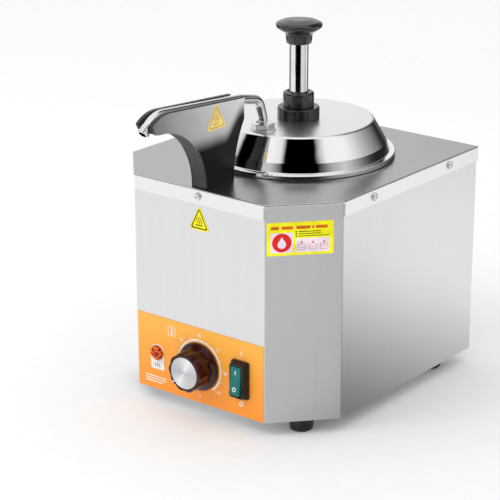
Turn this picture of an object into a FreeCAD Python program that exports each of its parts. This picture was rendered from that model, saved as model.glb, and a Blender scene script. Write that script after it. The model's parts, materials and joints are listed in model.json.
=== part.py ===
"""Nacho cheese dispenser: a counter-top warmer with a drop-in food pot and a push-down pump.

Lengths are in millimetres. The pieces are drawn about the casing: x = 0 is its middle, y = 0 is
half-way from its front to its rear, and z = 0 is its underside. save() moves every piece by one
amount, so that the object stands on z = 0 with the centre of its overall box over the origin.
"""
import FreeCAD, Part
import math
import os

V = FreeCAD.Vector
X_AXIS = V(1, 0, 0)
Y_AXIS = V(0, 1, 0)
Z_AXIS = V(0, 0, 1)

# Casing
WIDTH = 260.0
DEPTH = 286.0
HEIGHT = 220.0              # underside of the casing to the face of the top plate
CHAMFER_X = 50.0            # each front corner is cut by this much of the width
CHAMFER_Y = 55.0            # and this much of the depth
SHEET = 1.0
BEND = 2.0                  # outside radius of a folded corner
REAR_RETURN = 15.0          # flanges that the rear panel is screwed to
FRONT_Y = -DEPTH / 2
REAR_Y = DEPTH / 2
HALF_FRONT = WIDTH / 2 - CHAMFER_X

# Top plate
LAP = 1.2                   # how far the plate stands out past the casing
FLANGE = 15.0               # down-turned edge at the front, sides and rear
LIP = 2.6                   # edge left along the chamfers
POT_HOLE_R = 82.0

# Rear panel and base
PANEL_MARGIN = 1.5
PANEL_BOTTOM = 2.0
BASE_FLANGE = 12.0
PANEL_GAP = 0.2

# Feet
FOOT_HEIGHT = 14.0
FOOT_TOP_R = 13.0
FOOT_BOTTOM_R = 11.0
FOOT_PLACES = [(-95, -104), (95, -104), (-106, 104), (106, 104)]

# Screws
SCREW_R = 2.0
SCREW_HOLE_R = 2.1
HEAD_R = 4.0
HEAD_HEIGHT = 2.3
FLANGE_SCREW_Z = 212.5
SIDE_SCREW_Y = (-40, 90)
REAR_SCREW_X = 123.0
PANEL_SCREW_Z = (22, 107, 192)

# Control panel, on the front
OVERLAY_TOP = 78.5
OVERLAY = 0.5
OVERLAY_HALF = 79.0
OVERLAY_Y = FRONT_Y - OVERLAY
CONTROL_Z = 39.0            # height of the dial and of the power switch
DIAL_SKIRT_R = 24.5
DIAL_GRIP_R = 20.0
DIAL_FLUTES = 10
DIAL_LENGTH = 23.0
DIAL_GAP = 0.8              # overlay to the back of the skirt
DIAL_CAP_R = 16.2
DIAL_SCREW_X = 13.0
SHAFT_R = 3.0
SWITCH_X = 52.0
ROCKER_TILT = 7.0           # the rocker rests this far each side of upright, in degrees
ROCKER_PIVOT_Y = OVERLAY_Y - 2.5
LAMP_X = -54.0
LAMP_Z = 39.5
LAMP_R = 7.8

# Pot, water pan and lid share this upright axis
POT_Y = 13.5
POT_R = 80.0
POT_BOTTOM = 64.0
POT_RIM_R = 92.5
POT_BEAD_R = 1.7
POT_REST = HEIGHT + 0.2
PAN_R = 97.0
PAN_BOTTOM = 52.0
PAN_FLANGE_R = 107.0
LID_R = 97.5
LID_TOP = 256.7

# Heater, under the water pan
HEATER_R = 70.0
HEATER_THICK = 10.0
ELEMENT_RING_R = 52.0
ELEMENT_R = 4.0
ELEMENT_SWEEP = 320.0       # its ring is open at the rear

# Pump
ROD_R = 9.4
ROD_BORE_R = 7.9
GUIDE_R = 9.48              # running clearance on the rod
SLEEVE_R = 12.2
COLLAR_R = 15.4
COLLAR_TOP = 283.0
LOCK_NUT_R = 21.0
LOCK_NUT_TOP = 268.0
LOCK_NUT_GROOVES = 13
KNOB_BOTTOM = 332.3
KNOB_R = 23.1
KNOB_TOP = 356.0
KNOB_SOCKET_TOP = 348.0     # blind end of the knob's socket for the rod
CYLINDER_R = 17.0
BARREL_R = 15.2             # inside of the cylinder
CYLINDER_TOP = 251.0
CYLINDER_BOTTOM = 84.0
PISTON_R = 14.9
PISTON_BOTTOM = 160.0
PISTON_TOP = 172.0
BALL_R = 7.0
BALL_Z = 78.35
VALVE_BOTTOM = 70.0
VALVE_R = 19.0
PORT_Z = 93.0               # outlet from the foot of the cylinder to the riser
SPRING_R = 12.6
SPRING_WIRE_R = 0.9
SPRING_COILS = 8

# Discharge tube: centre line in the middle plane, as y, z and bend radius
TUBE_R = 4.7
TUBE_BORE_R = 3.7
RISER_Y = -44.2
RISER_TOP = 261.0
TUBE_ROUTE = [
    (RISER_Y, RISER_TOP, 0),
    (RISER_Y, 268.0, 18),
    (-51.0, 288.0, 14),
    (-80.0, 294.3, 60),
    (-205.0, 305.2, 30),
    (-217.9, 293.4, 0),
]
NOZZLE_LENGTH = 8.0
NOZZLE_R = 5.6

# Spout housing, a channel that the discharge tube lies in
SPOUT_HALF = 9.5
SPOUT_SHEET = 1.5
SPOUT_REAR_Y = -85.0
SPOUT_BASE_REAR_Y = -101.0
SPOUT_BACK_R = 113.0        # hollow curve of the rear edge
BELLY_R = 67.0              # hollow curve of the front edge
BELLY_CENTRE = (-208.0, 222.0)
SPOUT_TOP_REAR = 299.6
SPOUT_TOP_FRONT = 308.7
SPOUT_LIP = 1.2
SPOUT_SLOT_HALF = 5.9       # the tube and its nozzle lift out between the lips
LINER_DROP = 5.4            # tube centre line to the floor of the channel
BLOCK_TOP = 227.0
SPOUT_SCREW_Y = (-131, -114)

# Cord gland, in the rear panel
GLAND_X = 75.0
GLAND_Z = 34.0
GLAND_BORE_R = 4.0
GLAND_SHANK_R = 7.8
GLAND_OUTSIDE = 18.0
GLAND_INSIDE = 12.0

STICKER = 0.25

PANEL_Y = REAR_Y + LAP
ORIGIN_SHIFT = V(0, 31.24, FOOT_HEIGHT)     # puts the middle of the overall depth at y = 0


# ---- drawing helpers ----------------------------------------------------------------------

def box(x, y, z):
    """A block, each argument being its (low, high) along that axis."""
    size = [high - low for low, high in (x, y, z)]
    return Part.makeBox(*size, V(x[0], y[0], z[0]))


def rod_between(radius, start, end):
    """A cylinder from one point to another."""
    start, end = V(*start), V(*end)
    return Part.makeCylinder(radius, (end - start).Length, start, end - start)


def bent_edges(points, radii, closed):
    """Straight edges through the points, with a tangent arc of the given radius at each."""
    count = len(points)
    runs = []
    arcs = []
    for i, (point, radius) in enumerate(zip(points, radii)):
        is_end = not closed and i in (0, count - 1)
        if is_end or radius == 0:
            runs.append((point, point))
            continue
        arrive = (point - points[i - 1]).normalize()
        leave = (points[(i + 1) % count] - point).normalize()
        half_turn = arrive.getAngle(leave) / 2
        reach = radius * math.tan(half_turn)
        start = point - arrive * reach
        end = point + leave * reach
        inwards = (leave - arrive).normalize()
        middle = point + inwards * (radius / math.cos(half_turn) - radius)
        runs.append((start, end))
        arcs.append((i, Part.Arc(start, middle, end).toShape()))
    arcs = dict(arcs)
    edges = []
    for i in range(count):
        if i in arcs:
            edges.append(arcs[i])
        if closed or i < count - 1:
            here = runs[i][1]
            there = runs[(i + 1) % count][0]
            if (there - here).Length > 1e-6:
                edges.append(Part.LineSegment(here, there).toShape())
    return edges


def outline(corners, place):
    """A face from corners given as (u, v) or (u, v, radius); place turns u, v into a point."""
    points = [place(c[0], c[1]) for c in corners]
    radii = [c[2] if len(c) > 2 else 0 for c in corners]
    return Part.Face(Part.Wire(bent_edges(points, radii, True)))


def slab_z(corners, low, high):
    """An upright prism over corners given in x, y."""
    return outline(corners, lambda u, v: V(u, v, low)).extrude(V(0, 0, high - low))


def slab_x(corners, low, high):
    """A prism along x over corners given in y, z."""
    return outline(corners, lambda u, v: V(low, u, v)).extrude(V(high - low, 0, 0))


def slab_y(corners, low, high):
    """A prism along y over corners given in x, z."""
    return outline(corners, lambda u, v: V(u, low, v)).extrude(V(0, high - low, 0))


def rectangle(x, z, radius=0):
    """Corners of a rectangle from its (low, high) along each side, all rounded alike."""
    return [(x[0], z[0], radius), (x[1], z[0], radius), (x[1], z[1], radius), (x[0], z[1], radius)]


def turned(corners, at=(0, POT_Y)):
    """A solid turned about the upright axis through at, from corners given as radius, z."""
    face = outline(corners, lambda u, v: V(at[0] + u, at[1], v))
    return face.revolve(V(at[0], at[1], 0), Z_AXIS, 360)


def ring(outer, inner, low, high, at=(0, POT_Y)):
    """An upright tube."""
    return turned([(inner, low), (outer, low), (outer, high), (inner, high)], at)


def aimed(shape, at, axis):
    """The shape, drawn about the z axis from the origin, moved to a point and turned to an axis."""
    shape.Placement = FreeCAD.Placement(V(*at), FreeCAD.Rotation(Z_AXIS, V(*axis)))
    return shape


def pipe(points, radii, outer, inner=0):
    """A round bar, or a tube if inner isn't 0, along straight runs joined by tangent arcs."""
    points = [V(*p) for p in points]
    path = Part.Wire(bent_edges(points, radii, False))
    heading = points[1] - points[0]

    def swept(radius):
        section = Part.Wire(Part.Circle(points[0], heading, radius).toShape())
        return path.makePipeShell([section], True, False)

    solid = swept(outer)
    return solid.cut(swept(inner)) if inner else solid


def hexagon(across, low, high):
    """A hexagonal prism about the z axis, from its width across flats."""
    radius = across / math.sqrt(3)
    corners = [
        (radius * math.cos(math.radians(60 * i)), radius * math.sin(math.radians(60 * i)))
        for i in range(6)
    ]
    return slab_z(corners, low, high)


def round_hex(across, low, high, chamfer=0.8):
    """A hexagonal prism with its corners turned down at the top, as on a nut."""
    corner = across / math.sqrt(3)
    body = [(0, low), (corner, low), (corner, high - chamfer), (corner - 2 * chamfer, high), (0, high)]
    return hexagon(across, low, high).common(turned(body, (0, 0)))


def pan_screw(at, axis, length):
    """A pan-head screw; at is the middle of the head's underside, and axis points out of the head."""
    head = turned([(0, 0), (HEAD_R, 0), (HEAD_R, HEAD_HEIGHT, 1.6), (0, HEAD_HEIGHT)], (0, 0))
    for slot in ((2.1, 0.4), (0.4, 2.1)):
        recess = ((-slot[0], slot[0]), (-slot[1], slot[1]), (HEAD_HEIGHT - 1.2, HEAD_HEIGHT + 1))
        head = head.cut(box(*recess))
    shank = Part.makeCylinder(SCREW_R, length, V(0, 0, -length))
    return aimed(head.fuse(shank), at, axis)


def triangle(centre, base, width, height, radius):
    """Corners of an upright triangle with rounded points."""
    half = width / 2
    return [(centre - half, base, radius), (centre + half, base, radius), (centre, base + height, radius)]


def group(shapes):
    """Several separate solids as one piece of the parts list."""
    return Part.makeCompound(shapes)


def save(name, shape):
    """Writes one sub-part, moved from the casing's frame to the object's own frame."""
    shape = shape.copy()
    shape.translate(ORIGIN_SHIFT)
    solids = shape.Solids
    if not solids or not all(solid.isValid() and solid.Volume > 0 for solid in solids):
        raise RuntimeError(name + " is not made of valid solids")
    if len(solids) == 1:
        shape = solids[0]
    else:
        shape = group(solids)
    shape.exportStep("parts/" + name + ".step")


# ---- casing -------------------------------------------------------------------------------

def casing_corners(grow, radius):
    """Corners of the casing seen from above, moved outwards by grow."""
    turn = math.atan2(CHAMFER_Y, CHAMFER_X)
    half = WIDTH / 2 + grow
    front_x = HALF_FRONT + grow * math.tan(turn / 2)
    side_y = FRONT_Y + CHAMFER_Y - grow * math.tan((math.pi / 2 - turn) / 2)
    right = [(front_x, FRONT_Y - grow, radius), (half, side_y, radius), (half, REAR_Y + grow, radius)]
    left = [(-x, y, r) for x, y, r in reversed(right)]
    return right + left


def flange_screw_places():
    """Middle of each top-plate screw's head on the flange, with the way it faces."""
    side_x = WIDTH / 2 + LAP
    places = [((0, FRONT_Y - LAP, FLANGE_SCREW_Z), (0, -1, 0))]
    for side in (-1, 1):
        for y in SIDE_SCREW_Y:
            places.append(((side * side_x, y, FLANGE_SCREW_Z), (side, 0, 0)))
        places.append(((side * REAR_SCREW_X, REAR_Y + LAP, FLANGE_SCREW_Z), (0, 1, 0)))
    return places


def panel_screw_places():
    """Middle of each rear-panel screw's head."""
    return [((side * REAR_SCREW_X, PANEL_Y, z), (0, 1, 0)) for side in (-1, 1) for z in PANEL_SCREW_Z]


def screw_holes(places, depth):
    """Drills for the clearance holes of screws at these places."""
    drills = []
    for at, axis in places:
        drill = Part.makeCylinder(SCREW_HOLE_R, depth, V(0, 0, 2 - depth))
        drills.append(aimed(drill, at, axis))
    return group(drills)


def front_cutouts():
    """Openings in the front for the dial's bush and screws, the lamp and the power switch."""
    deep, shallow = FRONT_Y + 5, OVERLAY_Y - 5
    holes = [rod_between(5.6, (0, deep, CONTROL_Z), (0, shallow, CONTROL_Z))]
    for side in (-1, 1):
        x = side * DIAL_SCREW_X
        holes.append(rod_between(SCREW_HOLE_R, (x, deep, CONTROL_Z), (x, shallow, CONTROL_Z)))
    holes.append(rod_between(6.2, (LAMP_X, deep, LAMP_Z), (LAMP_X, shallow, LAMP_Z)))
    opening = rectangle((SWITCH_X - 7.3, SWITCH_X + 7.3), (CONTROL_Z - 16.9, CONTROL_Z + 16.9), 1)
    holes.append(slab_y(opening, shallow, deep))
    return group(holes)


def shell_wrap():
    """Front, chamfers and sides folded from one sheet, with returns for the rear panel."""
    top = HEIGHT - SHEET
    wrap = slab_z(casing_corners(0, BEND), 0, top).cut(slab_z(casing_corners(-SHEET, BEND - SHEET), 0, top))
    open_half = WIDTH / 2 - REAR_RETURN
    wrap = wrap.cut(box((-open_half, open_half), (REAR_Y - 5, REAR_Y + 5), (-1, HEIGHT)))
    wrap = wrap.cut(front_cutouts())
    return wrap.cut(screw_holes(flange_screw_places() + panel_screw_places(), 12))


def top_plate():
    """Top plate with its down-turned flanges and the hole that the food pot drops into."""
    low = HEIGHT - FLANGE
    plate = slab_z(casing_corners(LAP, BEND), low, HEIGHT)
    rim = [e for e in plate.Edges if min(v.Z for v in e.Vertexes) > HEIGHT - 0.01]
    plate = plate.makeFillet(1.2, rim)
    plate = plate.cut(slab_z(casing_corners(LAP - SHEET, BEND - SHEET), low - 1, HEIGHT - SHEET))
    past = 0.05                 # how far the cut along a chamfer's plane runs on, as part of the chamfer
    for side in (-1, 1):
        corner = [
            (side * (HALF_FRONT - past * CHAMFER_X), FRONT_Y - past * CHAMFER_Y),
            (side * (WIDTH / 2 + past * CHAMFER_X), FRONT_Y - past * CHAMFER_Y),
            (side * (WIDTH / 2 + past * CHAMFER_X), FRONT_Y + (1 + past) * CHAMFER_Y),
        ]
        plate = plate.cut(slab_z(corner, low - 1, HEIGHT - LIP))
    plate = plate.cut(ring(POT_HOLE_R, 0, low, HEIGHT + 1))
    for y in SPOUT_SCREW_Y:
        plate = plate.cut(rod_between(SCREW_HOLE_R, (0, y, low), (0, y, HEIGHT + 1)))
    return plate.cut(screw_holes(flange_screw_places(), 6))


def rear_panel():
    """Flat rear panel with vent slots and the hole for the cord gland."""
    half = WIDTH / 2 - PANEL_MARGIN
    top = HEIGHT - FLANGE - 1.5
    corners = rectangle((-half, half), (PANEL_BOTTOM, top), 2)
    panel = slab_y(corners, REAR_Y + PANEL_GAP, PANEL_Y)
    for side in (-1, 1):
        for row in range(6):
            z = 110 + 11 * row
            x = side * 42
            slot = rectangle((x - 27, x + 27), (z, z + 4), 1.9)
            panel = panel.cut(slab_y(slot, REAR_Y - 1, PANEL_Y + 1))
    gland = rod_between(8.1, (GLAND_X, REAR_Y - 1, GLAND_Z), (GLAND_X, PANEL_Y + 1, GLAND_Z))
    return panel.cut(gland).cut(screw_holes(panel_screw_places(), 6))


def base_plate():
    """Bottom tray inside the casing, with air slots, that carries the feet."""
    inset = -SHEET - 0.3
    tray = slab_z(casing_corners(inset, BEND - SHEET), 0, BASE_FLANGE)
    tray = tray.cut(slab_z(casing_corners(inset - SHEET, 0), SHEET, BASE_FLANGE + 1))
    for i in range(6):
        y = -50 + 20 * i
        tray = tray.cut(slab_z(rectangle((-35, 35), (y, y + 5), 2.4), -1, 2))
    for x, y in FOOT_PLACES:
        tray = tray.cut(rod_between(SCREW_HOLE_R, (x, y, -1), (x, y, 2)))
    return tray


def rubber_feet():
    """Four tapered feet, each with a pocket for its screw's head."""
    bottom = -FOOT_HEIGHT
    profile = [
        (SCREW_HOLE_R, 0), (FOOT_TOP_R, 0, 1), (FOOT_BOTTOM_R, bottom, 2),
        (5.5, bottom), (5.5, bottom + 6), (SCREW_HOLE_R, bottom + 6),
    ]
    return group([turned(profile, place) for place in FOOT_PLACES])


def foot_screws():
    """One screw for each foot, from below into the base."""
    bottom = -FOOT_HEIGHT + 6
    return group([pan_screw((x, y, bottom), (0, 0, -1), 15) for x, y in FOOT_PLACES])


def foot_nuts():
    """Nuts on the foot screws, inside the casing."""
    nuts = []
    for x, y in FOOT_PLACES:
        nut = round_hex(7, 0, 3.2, 0.4).cut(Part.makeCylinder(SCREW_HOLE_R, 4))
        nuts.append(aimed(nut, (x, y, SHEET), (0, 0, 1)))
    return group(nuts)


def control_overlay():
    """Printed sheet across the lower front."""
    sheet = slab_y(rectangle((-OVERLAY_HALF, OVERLAY_HALF), (0.3, OVERLAY_TOP)), OVERLAY_Y, FRONT_Y)
    return sheet.cut(front_cutouts())


def hot_stickers():
    """Triangular stickers on the front and on the right cheek of the spout."""
    front = slab_y(triangle(1, 178.8, 25, 25, 1.8), FRONT_Y - STICKER, FRONT_Y)
    spout = slab_x(triangle(-127, 276.8, 28, 26, 1.8), SPOUT_HALF, SPOUT_HALF + STICKER)
    return group([front, spout])


def water_sticker():
    """Oblong sticker on the right chamfer."""
    along = V(CHAMFER_X, CHAMFER_Y, 0).normalize()
    outwards = V(CHAMFER_Y, -CHAMFER_X, 0).normalize()
    start = V(HALF_FRONT, FRONT_Y, 0)
    face = outline(rectangle((1.6, 65.0), (169.7, 202.3), 0.8), lambda u, v: start + along * u + V(0, 0, v))
    return face.extrude(outwards * STICKER)


# ---- controls -----------------------------------------------------------------------------

def thermostat_knob():
    """Dial with a round skirt and a fluted grip, hollow at the back around its hub."""
    grip_end = DIAL_LENGTH
    skirt = [
        (0, 0), (DIAL_SKIRT_R, 0, 0.8), (DIAL_SKIRT_R, 3, 1.2), (DIAL_GRIP_R, 4.5),
        (DIAL_GRIP_R, grip_end, 1.2), (0, grip_end),
    ]
    knob = turned(skirt, (0, 0))
    for i in range(DIAL_FLUTES):
        angle = 2 * math.pi * i / DIAL_FLUTES
        flute = V(22.9 * math.cos(angle), 22.9 * math.sin(angle), 5)
        knob = knob.cut(Part.makeCylinder(4.2, DIAL_LENGTH, flute))
    knob = knob.cut(ring(DIAL_CAP_R + 0.1, 0, grip_end - 0.8, grip_end + 1, (0, 0)))
    knob = knob.cut(ring(18, 6.5, -1, 12, (0, 0)))
    knob = knob.cut(ring(7, 0, -1, 2, (0, 0)))
    knob = knob.cut(Part.makeCylinder(SHAFT_R + 0.05, 15))
    return aimed(knob, (0, OVERLAY_Y - DIAL_GAP, CONTROL_Z), (0, -1, 0))


def dial_cap():
    """Thin spun disc let into the front of the dial."""
    cap = turned([(0, 0), (DIAL_CAP_R, 0), (DIAL_CAP_R, 1, 0.4), (0, 1)], (0, 0))
    return aimed(cap, (0, OVERLAY_Y - DIAL_GAP - DIAL_LENGTH + 0.8, CONTROL_Z), (0, -1, 0))


def thermostat_shaft():
    """Spindle from the thermostat to the dial, with a flat at its outer end."""
    start = FRONT_Y + 14
    length = start - (OVERLAY_Y - DIAL_GAP - 14.5)
    shaft = Part.makeCylinder(SHAFT_R, length)
    shaft = shaft.cut(box((1.8, 4), (-4, 4), (length - 9, length + 1)))
    return aimed(shaft, (0, start, CONTROL_Z), (0, -1, 0))


def thermostat_body():
    """Thermostat's housing, bush and fixing bridge behind the front."""
    inner = FRONT_Y + SHEET
    bridge = slab_y(rectangle((-19, 19), (CONTROL_Z - 8, CONTROL_Z + 8), 3), inner, inner + 1.6)
    case = slab_y(rectangle((-17, 17), (CONTROL_Z - 17, CONTROL_Z + 17), 3), inner + 1.6, inner + 28)
    bush = rod_between(5, (0, inner, CONTROL_Z), (0, OVERLAY_Y - 1.5, CONTROL_Z))
    tabs = [box((x - 3, x + 3), (inner + 28, inner + 35), (CONTROL_Z + 4, CONTROL_Z + 5)) for x in (-8, 8)]
    body = bridge.fuse([case, bush] + tabs)
    body = body.cut(rod_between(SHAFT_R + 0.05, (0, FRONT_Y + 14.3, CONTROL_Z), (0, OVERLAY_Y - 5, CONTROL_Z)))
    for side in (-1, 1):
        x = side * DIAL_SCREW_X
        body = body.cut(rod_between(SCREW_HOLE_R, (x, inner - 1, CONTROL_Z), (x, inner + 7, CONTROL_Z)))
    return body


def thermostat_screws():
    """Two screws under the dial's skirt."""
    places = [(side * DIAL_SCREW_X, OVERLAY_Y, CONTROL_Z) for side in (-1, 1)]
    return group([pan_screw(place, (0, -1, 0), 7) for place in places])


def thermostat_bulb():
    """Sensing bulb against the water pan, with the fine tube that joins it to the thermostat."""
    x, y = -72.5, POT_Y - 72.5
    bulb = turned([(0, 60), (3, 60, 1), (3, 140, 1), (0, 140)], (x, y))
    route = [
        (x, y, 61), (x, y, 24), (-40, -98, 24), (-13, -98, 30), (-13, -113, 34),
    ]
    return bulb.fuse(pipe(route, [0, 12, 12, 6, 0], 0.9))


def indicator_label():
    """Small white plate round the lamp, with a rounded head."""
    half = 8.5
    corners = [
        (LAMP_X - half, 22, 1), (LAMP_X + half, 22, 1),
        (LAMP_X + half, LAMP_Z + half + 0.4, half - 0.1), (LAMP_X - half, LAMP_Z + half + 0.4, half - 0.1),
    ]
    plate = slab_y(corners, OVERLAY_Y - 0.4, OVERLAY_Y)
    return plate.cut(front_cutouts())


def indicator_lens():
    """Domed amber lens of the heating lamp."""
    lens = turned([(0, 0), (LAMP_R, 0), (LAMP_R, 1.6, 0.6), (5.2, 3.9, 1.5), (0, 4.2)], (0, 0))
    lens = lens.fuse(Part.makeCylinder(5.9, 3, V(0, 0, -3)))
    return aimed(lens, (LAMP_X, OVERLAY_Y - 0.4, LAMP_Z), (0, -1, 0))


def indicator_body():
    """Lamp holder and its spring clip behind the front, with two tabs."""
    inner = FRONT_Y + SHEET
    body = rod_between(5.6, (LAMP_X, inner + 24, LAMP_Z), (LAMP_X, FRONT_Y + 2.2, LAMP_Z))
    clip = rod_between(9, (LAMP_X, inner + 5, LAMP_Z), (LAMP_X, inner + 1.2, LAMP_Z))
    tabs = []
    for side in (-1, 1):
        x = LAMP_X + side * 3
        tabs.append(box((x - 0.4, x + 0.4), (inner + 23, inner + 31), (LAMP_Z - 2.4, LAMP_Z + 2.4)))
    return body.fuse([clip] + tabs)


def switch_body():
    """Power switch's housing: stepped bezel outside, case and tabs inside, hollow for the rocker."""
    def step(half_x, half_z, low, high, radius):
        corners = rectangle((SWITCH_X - half_x, SWITCH_X + half_x), (CONTROL_Z - half_z, CONTROL_Z + half_z), radius)
        return slab_y(corners, low, high)

    face = OVERLAY_Y
    body = step(10.3, 19.3, face - 3.0, face, 2.2)
    body = body.fuse(step(8.9, 18.1, face - 6.0, face - 3.0, 2))
    body = body.fuse(step(7.9, 17.2, face - 8.6, face - 6.0, 1.8))
    body = body.fuse(step(7.1, 16.6, face, FRONT_Y + 22, 0.8))
    body = body.cut(step(6.3, 15.8, face - 10, face + 8, 0.6))
    for side in (-1, 0, 1):
        z = CONTROL_Z + side * 9
        body = body.fuse(box((SWITCH_X - 3.2, SWITCH_X + 3.2), (FRONT_Y + 21, FRONT_Y + 30), (z - 0.4, z + 0.4)))
    pivot = (SWITCH_X - 7.5, ROCKER_PIVOT_Y, CONTROL_Z), (SWITCH_X + 7.5, ROCKER_PIVOT_Y, CONTROL_Z)
    return body.cut(rod_between(1.25, *pivot))


def switch_rocker():
    """Illuminated rocker, at rest with its upper half pressed in."""
    corners = [
        (-8.2, -14.6, 0.8), (-6.9, 0, 30), (-8.2, 14.6, 0.8), (1.5, 12.5, 2), (5, 4, 2), (5, -4, 2), (1.5, -12.5, 2),
    ]
    half = 5.95
    rocker = outline(corners, lambda u, v: V(SWITCH_X - half, ROCKER_PIVOT_Y + u, CONTROL_Z + v))
    rocker = rocker.extrude(V(2 * half, 0, 0))
    stub = (SWITCH_X - 7.3, ROCKER_PIVOT_Y, CONTROL_Z), (SWITCH_X + 7.3, ROCKER_PIVOT_Y, CONTROL_Z)
    rocker = rocker.fuse(rod_between(1.2, *stub))
    rocker.rotate(V(SWITCH_X, ROCKER_PIVOT_Y, CONTROL_Z), X_AXIS, -ROCKER_TILT)
    return rocker


# ---- heating ------------------------------------------------------------------------------

def water_pan():
    """Deep-drawn pan welded under the top plate, which holds the hot water round the pot."""
    top = HEIGHT - SHEET
    return turned([
        (0, PAN_BOTTOM), (PAN_R, PAN_BOTTOM, 10), (PAN_R, top - 1, 0), (PAN_FLANGE_R, top - 1),
        (PAN_FLANGE_R, top), (PAN_R - 1, top), (PAN_R - 1, PAN_BOTTOM + 1, 9), (0, PAN_BOTTOM + 1),
    ])


def heater_plate():
    """Cast disc that spreads the element's heat over the floor of the water pan."""
    low = PAN_BOTTOM - HEATER_THICK
    plate = ring(HEATER_R, 3.3, low, PAN_BOTTOM)
    groove = Part.makeTorus(ELEMENT_RING_R, ELEMENT_R + 0.1, V(0, POT_Y, low), Z_AXIS)
    return plate.cut(groove)


def heating_element():
    """Tubular element bent to an open ring, with its two cold ends pointing down."""
    low = PAN_BOTTOM - HEATER_THICK
    element = Part.makeTorus(ELEMENT_RING_R, ELEMENT_R, V(0, 0, 0), Z_AXIS, -180, 180, ELEMENT_SWEEP)
    first_end = 270 - ELEMENT_SWEEP / 2
    element.Placement = FreeCAD.Placement(V(0, POT_Y, low), FreeCAD.Rotation(Z_AXIS, first_end))
    for degrees in (first_end, first_end + ELEMENT_SWEEP):
        angle = math.radians(degrees)
        x = ELEMENT_RING_R * math.cos(angle)
        y = POT_Y + ELEMENT_RING_R * math.sin(angle)
        element = element.fuse(rod_between(ELEMENT_R, (x, y, low), (x, y, low - 18)))
        element = element.fuse(rod_between(1.5, (x, y, low - 18), (x, y, low - 25)))
    return element


def heater_clamp():
    """Bar that holds the element up against the plate."""
    high = PAN_BOTTOM - HEATER_THICK - ELEMENT_R
    bar = slab_z(rectangle((-60, 60), (POT_Y - 10, POT_Y + 10), 4), high - 3, high)
    return bar.cut(rod_between(3.3, (0, POT_Y, high - 4), (0, POT_Y, high + 1)))


def heater_stud():
    """Stud welded to the pan's floor, with the nut that draws the clamp up."""
    high = PAN_BOTTOM - HEATER_THICK - ELEMENT_R - 3
    stud = rod_between(3, (0, POT_Y, PAN_BOTTOM), (0, POT_Y, high - 8))
    nut = aimed(round_hex(10, 0, 5, 0.5), (0, POT_Y, high), (0, 0, -1))
    return stud.fuse(nut)


def overheat_cutout():
    """Snap-disc cut-out against the heater plate, with two tabs."""
    high = PAN_BOTTOM - HEATER_THICK
    at = (0, POT_Y + 32)
    disc = turned([(0, high), (8, high), (8, high - 7, 1), (0, high - 7)], at)
    tabs = [box((x - 0.4, x + 0.4), (at[1] - 3, at[1] + 3), (high - 15, high - 6)) for x in (-5, 5)]
    return disc.fuse(tabs)


def terminal_block():
    """Terminal strip on the base, under the cord's way in."""
    strip = box((45, 95), (72, 90), (SHEET, SHEET + 12))
    for i in range(4):
        x = 51 + 12.5 * i
        strip = strip.cut(rod_between(3, (x, 81, SHEET + 6), (x, 81, SHEET + 13)))
    return strip


def bend_radii(route):
    """The largest tidy bend at each inner point of a route: 0.4 of the shorter run beside it."""
    points = [V(*p) for p in route]
    radii = [0]
    for before, here, after in zip(points, points[1:], points[2:]):
        arrive, leave = here - before, after - here
        half_turn = arrive.getAngle(leave) / 2
        radii.append(0.4 * min(arrive.Length, leave.Length) / math.tan(half_turn))
    return radii + [0]


def wiring_harness():
    """Insulated leads between the terminal strip, switch, thermostat, lamp and heater."""
    gauge = 1.4
    routes = [
        [(55, 71.8, 7), (55, -90, 7), (SWITCH_X, -100, 20), (SWITCH_X, -112.6, 30)],
        [(82, 71.8, 7), (82, -80, 7), (30, -100, 8), (12, -98, 34), (8, -105.4, 43.5)],
        [(67, 71.8, 7), (60, 20, 7), (20, 30, 8), (17.8, POT_Y + 42, 12)],
        [(-8, -105.4, 43.5), (-14, -98, 44), (-34, -98, 42), (LAMP_X + 3, -100, LAMP_Z), (LAMP_X + 3, -110.8, LAMP_Z)],
    ]
    return group([pipe(route, bend_radii(route), gauge) for route in routes])


def cable_gland():
    """Gland body through the rear panel: hexagon and domed clamping nose outside, thread inside."""
    nose = turned([
        (0, 5), (9.2, 5), (9.2, 12, 2), (6.6, GLAND_OUTSIDE, 1), (0, GLAND_OUTSIDE),
    ], (0, 0))
    body = hexagon(22, 0, 5).fuse(nose)
    body = body.fuse(Part.makeCylinder(GLAND_SHANK_R, GLAND_INSIDE, V(0, 0, -GLAND_INSIDE)))
    length = GLAND_INSIDE + GLAND_OUTSIDE
    body = body.cut(Part.makeCylinder(GLAND_BORE_R, length + 2, V(0, 0, -GLAND_INSIDE - 1)))
    return aimed(body, (GLAND_X, PANEL_Y, GLAND_Z), (0, 1, 0))


def gland_locknut():
    """Nut that clamps the gland to the rear panel from inside."""
    nut = round_hex(22, 0, 4.5).cut(Part.makeCylinder(GLAND_SHANK_R + 0.1, 6, V(0, 0, -0.5)))
    return aimed(nut, (GLAND_X, REAR_Y + PANEL_GAP, GLAND_Z), (0, -1, 0))


# ---- spout housing ------------------------------------------------------------------------

def yz_arc(centre, radius, start, end, x):
    """An arc edge in the y, z plane at x, from one angle to another in degrees."""
    points = []
    for angle in (start, (start + end) / 2, end):
        turn = math.radians(angle)
        points.append(V(x, centre[0] + radius * math.cos(turn), centre[1] + radius * math.sin(turn)))
    return Part.Arc(*points).toShape()


def back_angle():
    """Angle of the rear edge's arc where it meets the upright top of that edge."""
    across = SPOUT_BASE_REAR_Y + SPOUT_BACK_R - SPOUT_REAR_Y
    return 180 - math.degrees(math.acos(across / SPOUT_BACK_R))


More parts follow.
